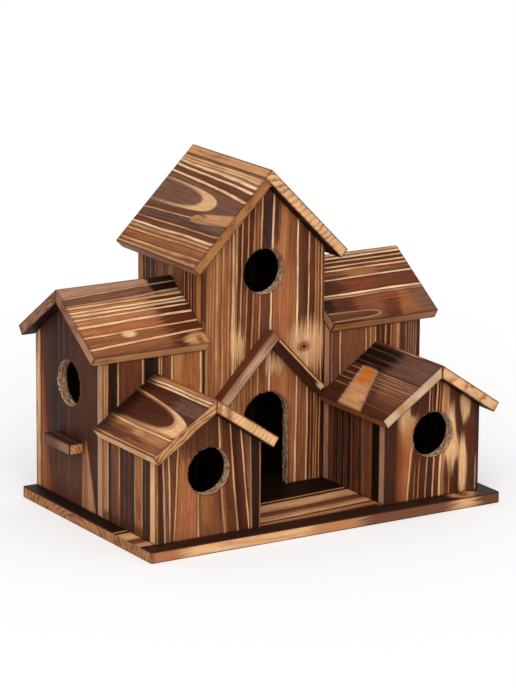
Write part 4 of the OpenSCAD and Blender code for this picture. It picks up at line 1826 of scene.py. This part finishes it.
class SubAssembly:
    """Boards that belong together and are made in one go."""

    def boards(self) -> list[Board]:
        """The boards, in the order in which they are made."""
        raise NotImplementedError

    def build(self) -> list[Object]:
        """Makes and dresses every board."""
        return [board.build() for board in self.boards()]

    def rims(self) -> list[Rim]:
        """The rims of all the holes in these boards."""
        return [rim for board in self.boards() for rim in board.rims()]


@dataclass
class BaseBoard(SubAssembly):
    """The board that everything stands on."""

    half_length: float = 170.0
    thickness: float = 9.5
    under_houses: float = -8.0
    margin: float = 1.5

    def boards(self) -> list[Board]:
        """The base board, whose margin stays within its rounded corners."""
        lay = Lay((-self.half_length, self.under_houses, self.thickness), RIGHT, FORWARD)
        return [Board("base_board", "base_wood", lay, BASE, rim=self.margin)]


@dataclass
class Tower(SubAssembly):
    """The tall middle part with its round hole, its arched doorway and its steep roof."""

    left: float = -58.5
    right: float = 62.5
    front: float = 1.5
    back: float = 107.0
    middle: float = 2.0
    ridge: float = 286.0
    roof_back: float = 118.0
    hole_height: float = 197.5
    hole_radius: float = 19.5
    door_middle: float = 5.5
    door_spring: float = 71.0
    door_radius: float = 22.0
    door_jamb: float = 63.0
    gable_top: float = 270.0
    side_top: float = 225.0
    pitch: float = 45.0

    def boards(self) -> list[Board]:
        """Lays out the boards.

        Returns:
            The four walls and the two roof boards.
        """
        hole = Hole((self.middle, self.front, self.hole_height), self.hole_radius)
        arch = Hole((self.door_middle, self.front, self.door_spring), self.door_radius,
                    self.door_jamb)
        run, drop = fall(self.pitch)
        ridge = (self.middle, self.roof_back, self.ridge)
        front, back = (self.left, self.front, self.gable_top), (self.right, self.back, self.gable_top)
        left, right = (self.left, self.back, self.side_top), (self.right, self.front, self.side_top)
        return [
            Board("tower_front_wall", "wall_wood", Lay(front, DOWN, RIGHT), TOWER_FRONT, (hole, arch)),
            Board("tower_back_wall", "wall_wood", Lay(back, DOWN, LEFTWARDS), BACK_OF_TOWER),
            Board("tower_left_wall", "side_wood", Lay(left, DOWN, FORWARD), TOWER_SIDE),
            Board("tower_right_wall", "side_wood", Lay(right, DOWN, BACKWARD), TOWER_SIDE),
            Board("tower_roof_left", "roof_wood", Lay(ridge, FORWARD, (-run, 0, -drop)), TOWER_SLOPE),
            Board("tower_roof_right", "roof_wood", Lay(ridge, FORWARD, (run, 0, -drop)), TOWER_CAP),
        ]


@dataclass
class Wing(SubAssembly):
    """A low wing beside the tower, with a round hole and a perch in its end wall."""

    side: Side
    tower_wall: float
    end: float
    roof_end: float
    front: float = -8.0
    back: float = 107.0
    ridge_depth: float = 51.0
    ridge: float = 192.0
    pitch: float = 34.0
    hole_depth: float = 49.5
    hole_height: float = 111.5
    hole_radius: float = 19.5
    perch_back: float = 68.0
    perch_top: float = 66.5
    gable_top: float = 190.0
    wall_top: float = 155.0

    def finishes(self) -> tuple[TorchedFace, ...]:
        """Picks the finishes of this side's boards.

        Returns:
            Those of the front wall, the end wall and the front slope.
        """
        if self.side is Side.LEFT:
            return LEFT_WING_FRONT, LEFT_END_WALL, LEFT_WING_SLOPE
        return RIGHT_WING_FRONT, RIGHT_END_WALL, RIGHT_WING_SLOPE

    def boards(self) -> list[Board]:
        """Lays out the boards.

        Returns:
            The three walls, the two roof boards and the perch.
        """
        name = self.side.value + "_wing_"
        front, end, slope = self.finishes()
        low, high = sorted((self.tower_wall, self.end))
        ridge = (min(self.tower_wall, self.roof_end), self.ridge_depth, self.ridge)
        run, drop = fall(self.pitch)
        hole = Hole((self.end, self.hole_depth, self.hole_height), self.hole_radius)
        perch = (self.end, self.perch_back, self.perch_top)
        if self.side is Side.LEFT:
            end_lay = Lay((self.end, self.back, self.gable_top), DOWN, FORWARD)
            perch_lay = Lay(perch, FORWARD, LEFTWARDS)
        else:
            end_lay = Lay((self.end, self.front, self.gable_top), DOWN, BACKWARD)
            perch_lay = Lay(perch, FORWARD, RIGHT)
        return [
            Board(name + "front_wall", "wall_wood",
                  Lay((low, self.front, self.wall_top), DOWN, RIGHT), front),
            Board(name + "back_wall", "wall_wood",
                  Lay((high, self.back, self.wall_top), DOWN, LEFTWARDS), BACK_OF_WING),
            Board(name + "end_wall", "side_wood", end_lay, end, (hole,)),
            Board(name + "roof_front", "roof_wood", Lay(ridge, RIGHT, (0, -run, -drop)), slope),
            Board(name + "roof_back", "roof_wood", Lay(ridge, RIGHT, (0, run, -drop)),
                  WING_BACK_SLOPE),
            Board(name + "perch", "perch_wood", perch_lay, PERCH),
        ]


@dataclass
class House(SubAssembly):
    """A small gabled house in front of a wing, with a round hole in its front."""

    side: Side
    middle: float
    left: float
    right: float
    front: float = -94.0
    back: float = -8.0
    ridge: float = 127.0
    pitch: float = 34.0
    hole_height: float = 64.5
    hole_radius: float = 19.5
    gable_top: float = 118.0
    side_top: float = 100.0

    def finishes(self) -> tuple[TorchedFace, ...]:
        """Picks the finishes of this side's boards.

        Returns:
            Those of the front, the left and right walls, and the left and right slopes.
        """
        if self.side is Side.LEFT:
            return (LEFT_HOUSE_FRONT, LEFT_HOUSE_OUTER, HOUSE_HIDDEN_SIDE, LEFT_HOUSE_SLOPE,
                    LEFT_HOUSE_FAR_SLOPE)
        return (RIGHT_HOUSE_FRONT, RIGHT_HOUSE_INNER, HOUSE_HIDDEN_SIDE, RIGHT_HOUSE_SLOPE,
                RIGHT_HOUSE_FAR_SLOPE)

    def boards(self) -> list[Board]:
        """Lays out the boards.

        Returns:
            The three walls and the two roof boards.
        """
        name = self.side.value + "_house_"
        front, left, right, slope, far_slope = self.finishes()
        run, drop = fall(self.pitch)
        hole = Hole((self.middle, self.front, self.hole_height), self.hole_radius)
        ridge = (self.middle, self.back, self.ridge)
        walls = ("outer_wall", "inner_wall")
        left_wall, right_wall = walls if self.side is Side.LEFT else walls[::-1]
        return [
            Board(name + "front_wall", "wall_wood",
                  Lay((self.left, self.front, self.gable_top), DOWN, RIGHT), front, (hole,)),
            Board(name + left_wall, "side_wood",
                  Lay((self.left, self.back, self.side_top), DOWN, FORWARD), left),
            Board(name + right_wall, "side_wood",
                  Lay((self.right, self.front, self.side_top), DOWN, BACKWARD), right),
            Board(name + "roof_left", "roof_wood", Lay(ridge, FORWARD, (-run, 0, -drop)), slope),
            Board(name + "roof_right", "roof_wood", Lay(ridge, FORWARD, (run, 0, -drop)), far_slope),
        ]


@dataclass
class DoorCanopy(SubAssembly):
    """The two sticks over the doorway."""

    middle: float = 5.5
    front: float = -10.0
    top: float = 148.5
    pitch: float = 46.5
    margin: float = 1.5

    def boards(self) -> list[Board]:
        """Lays out the sticks.

        Returns:
            The left and the right stick.
        """
        run, drop = fall(self.pitch)
        apex = (self.middle, self.front, self.top)
        return [
            Board("door_canopy_left", "stick_wood", Lay(apex, (-run, 0, -drop), (drop, 0, -run)),
                  CANOPY_LEFT, rim=self.margin),
            Board("door_canopy_right", "stick_wood", Lay(apex, (run, 0, -drop), (-drop, 0, -run)),
                  CANOPY_RIGHT, rim=self.margin),
        ]


@dataclass
class Studio:
    """A plain pale floor, soft light and the camera."""

    sky: float = 0.57
    sun: float = 1.65
    sun_softness: float = 60.0
    sun_way: Vec3 = (-0.4, -0.7, 0.6)
    floor_half: float = 9.0
    floor_tone: tuple[float, float, float, float] = (0.8, 0.8, 0.8, 1)
    floor_lift: float = 0.3
    camera_place: Vec3 = (-1.52331, -2.44947, 0.86494)
    camera_right: Vec3 = (0.85081529, -0.52540932, 0.00764108)
    camera_up: Vec3 = (0.1224913, 0.21245381, 0.96946339)
    lens: float = 248.1
    sensor: float = 36.0
    clip: tuple[float, float] = (0.1, 60.0)

    def build(self) -> None:
        """Makes the floor, the light, the camera and the world."""
        for make in (self.floor, self.light, self.camera, self.world):
            make()

    def seen(self, desk: Desk) -> Socket:
        """Tells what the eye, a reflection or glass looks at from what only gives light.

        Args:
            desk: the desk of the tree that asks.

        Returns:
            A value that is 1 where something is looked at.
        """
        rays = desk.node("ShaderNodeLightPath").outputs
        either = desk.math("MAXIMUM", rays["Is Camera Ray"], rays["Is Glossy Ray"])
        return desk.math("MAXIMUM", either, rays["Is Transmission Ray"])

    def floor(self) -> None:
        """Makes the floor, white where nothing stands in its light."""
        mesh = bpy.data.meshes.new("studio_floor")
        half = self.floor_half
        square = [(-half, -half, 0), (half, -half, 0), (half, half, 0), (-half, half, 0)]
        mesh.from_pydata(square, [], [(0, 1, 2, 3)])
        material, desk = new_material("studio_floor_white")
        matt = desk.node("ShaderNodeBsdfDiffuse", {"Color": self.floor_tone})
        glow = desk.node("ShaderNodeEmission", {
            "Strength": desk.times(self.seen(desk), self.floor_lift)})
        both = desk.node("ShaderNodeAddShader", {0: matt.outputs[0], 1: glow.outputs[0]})
        desk.node("ShaderNodeOutputMaterial", {0: both.outputs[0]})
        mesh.materials.append(material)
        new_object("studio_floor", mesh)

    def light(self) -> None:
        """Makes a broad soft lamp at the front left."""
        lamp = bpy.data.lights.new("studio_lamp", "SUN")
        lamp.energy, lamp.angle = self.sun, math.radians(self.sun_softness)
        light = new_object("studio_lamp", lamp)
        light.rotation_mode = "QUATERNION"
        light.rotation_quaternion = Vector(self.sun_way).to_track_quat("Z", "Y")

    def camera(self) -> None:
        """Makes the camera, low and at the front left."""
        data = bpy.data.cameras.new("studio_camera")
        data.lens, data.sensor_width, data.sensor_fit = self.lens, self.sensor, "HORIZONTAL"
        data.clip_start, data.clip_end = self.clip
        camera = new_object("studio_camera", data)
        right, up = Vector(self.camera_right), Vector(self.camera_up)
        turn = Matrix((right, up, right.cross(up))).transposed()
        camera.matrix_world = Matrix.Translation(self.camera_place) @ turn.to_4x4()
        bpy.context.scene.camera = camera

    def world(self) -> None:
        """Makes even light from all round, and a white backdrop."""
        world = bpy.data.worlds.new("studio")
        world.use_nodes = True
        desk = Desk(world.node_tree)
        sky = desk.node("ShaderNodeBackground", {
            "Strength": desk.spread(self.seen(desk), 0.0, 1.0, self.sky, 1.0),
            "Color": (1, 1, 1, 1)})
        desk.node("ShaderNodeOutputWorld", {0: sky.outputs[0]})
        bpy.context.scene.world = world


def main() -> None:
    """Builds the nest box and its studio."""
    logging.basicConfig(level=logging.INFO, format="%(message)s")
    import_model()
    bpy.context.scene.view_settings.view_transform = "Standard"
    Studio().build()
    parts: list[SubAssembly] = [
        BaseBoard(),
        Tower(),
        Wing(Side.LEFT, tower_wall=-58.5, end=-157.5, roof_end=-168.5),
        Wing(Side.RIGHT, tower_wall=62.5, end=154.5, roof_end=168.5),
        House(Side.LEFT, middle=-108.0, left=-157.5, right=-58.5),
        House(Side.RIGHT, middle=110.0, left=62.5, right=157.5),
        DoorCanopy(),
    ]
    for part in parts:
        made = part.build()
        LOG.info("%s: %d boards", type(part).__name__, len(made))
    TornFibres([rim for part in parts for rim in part.rims()]).build()


if __name__ == "__main__":
    main()
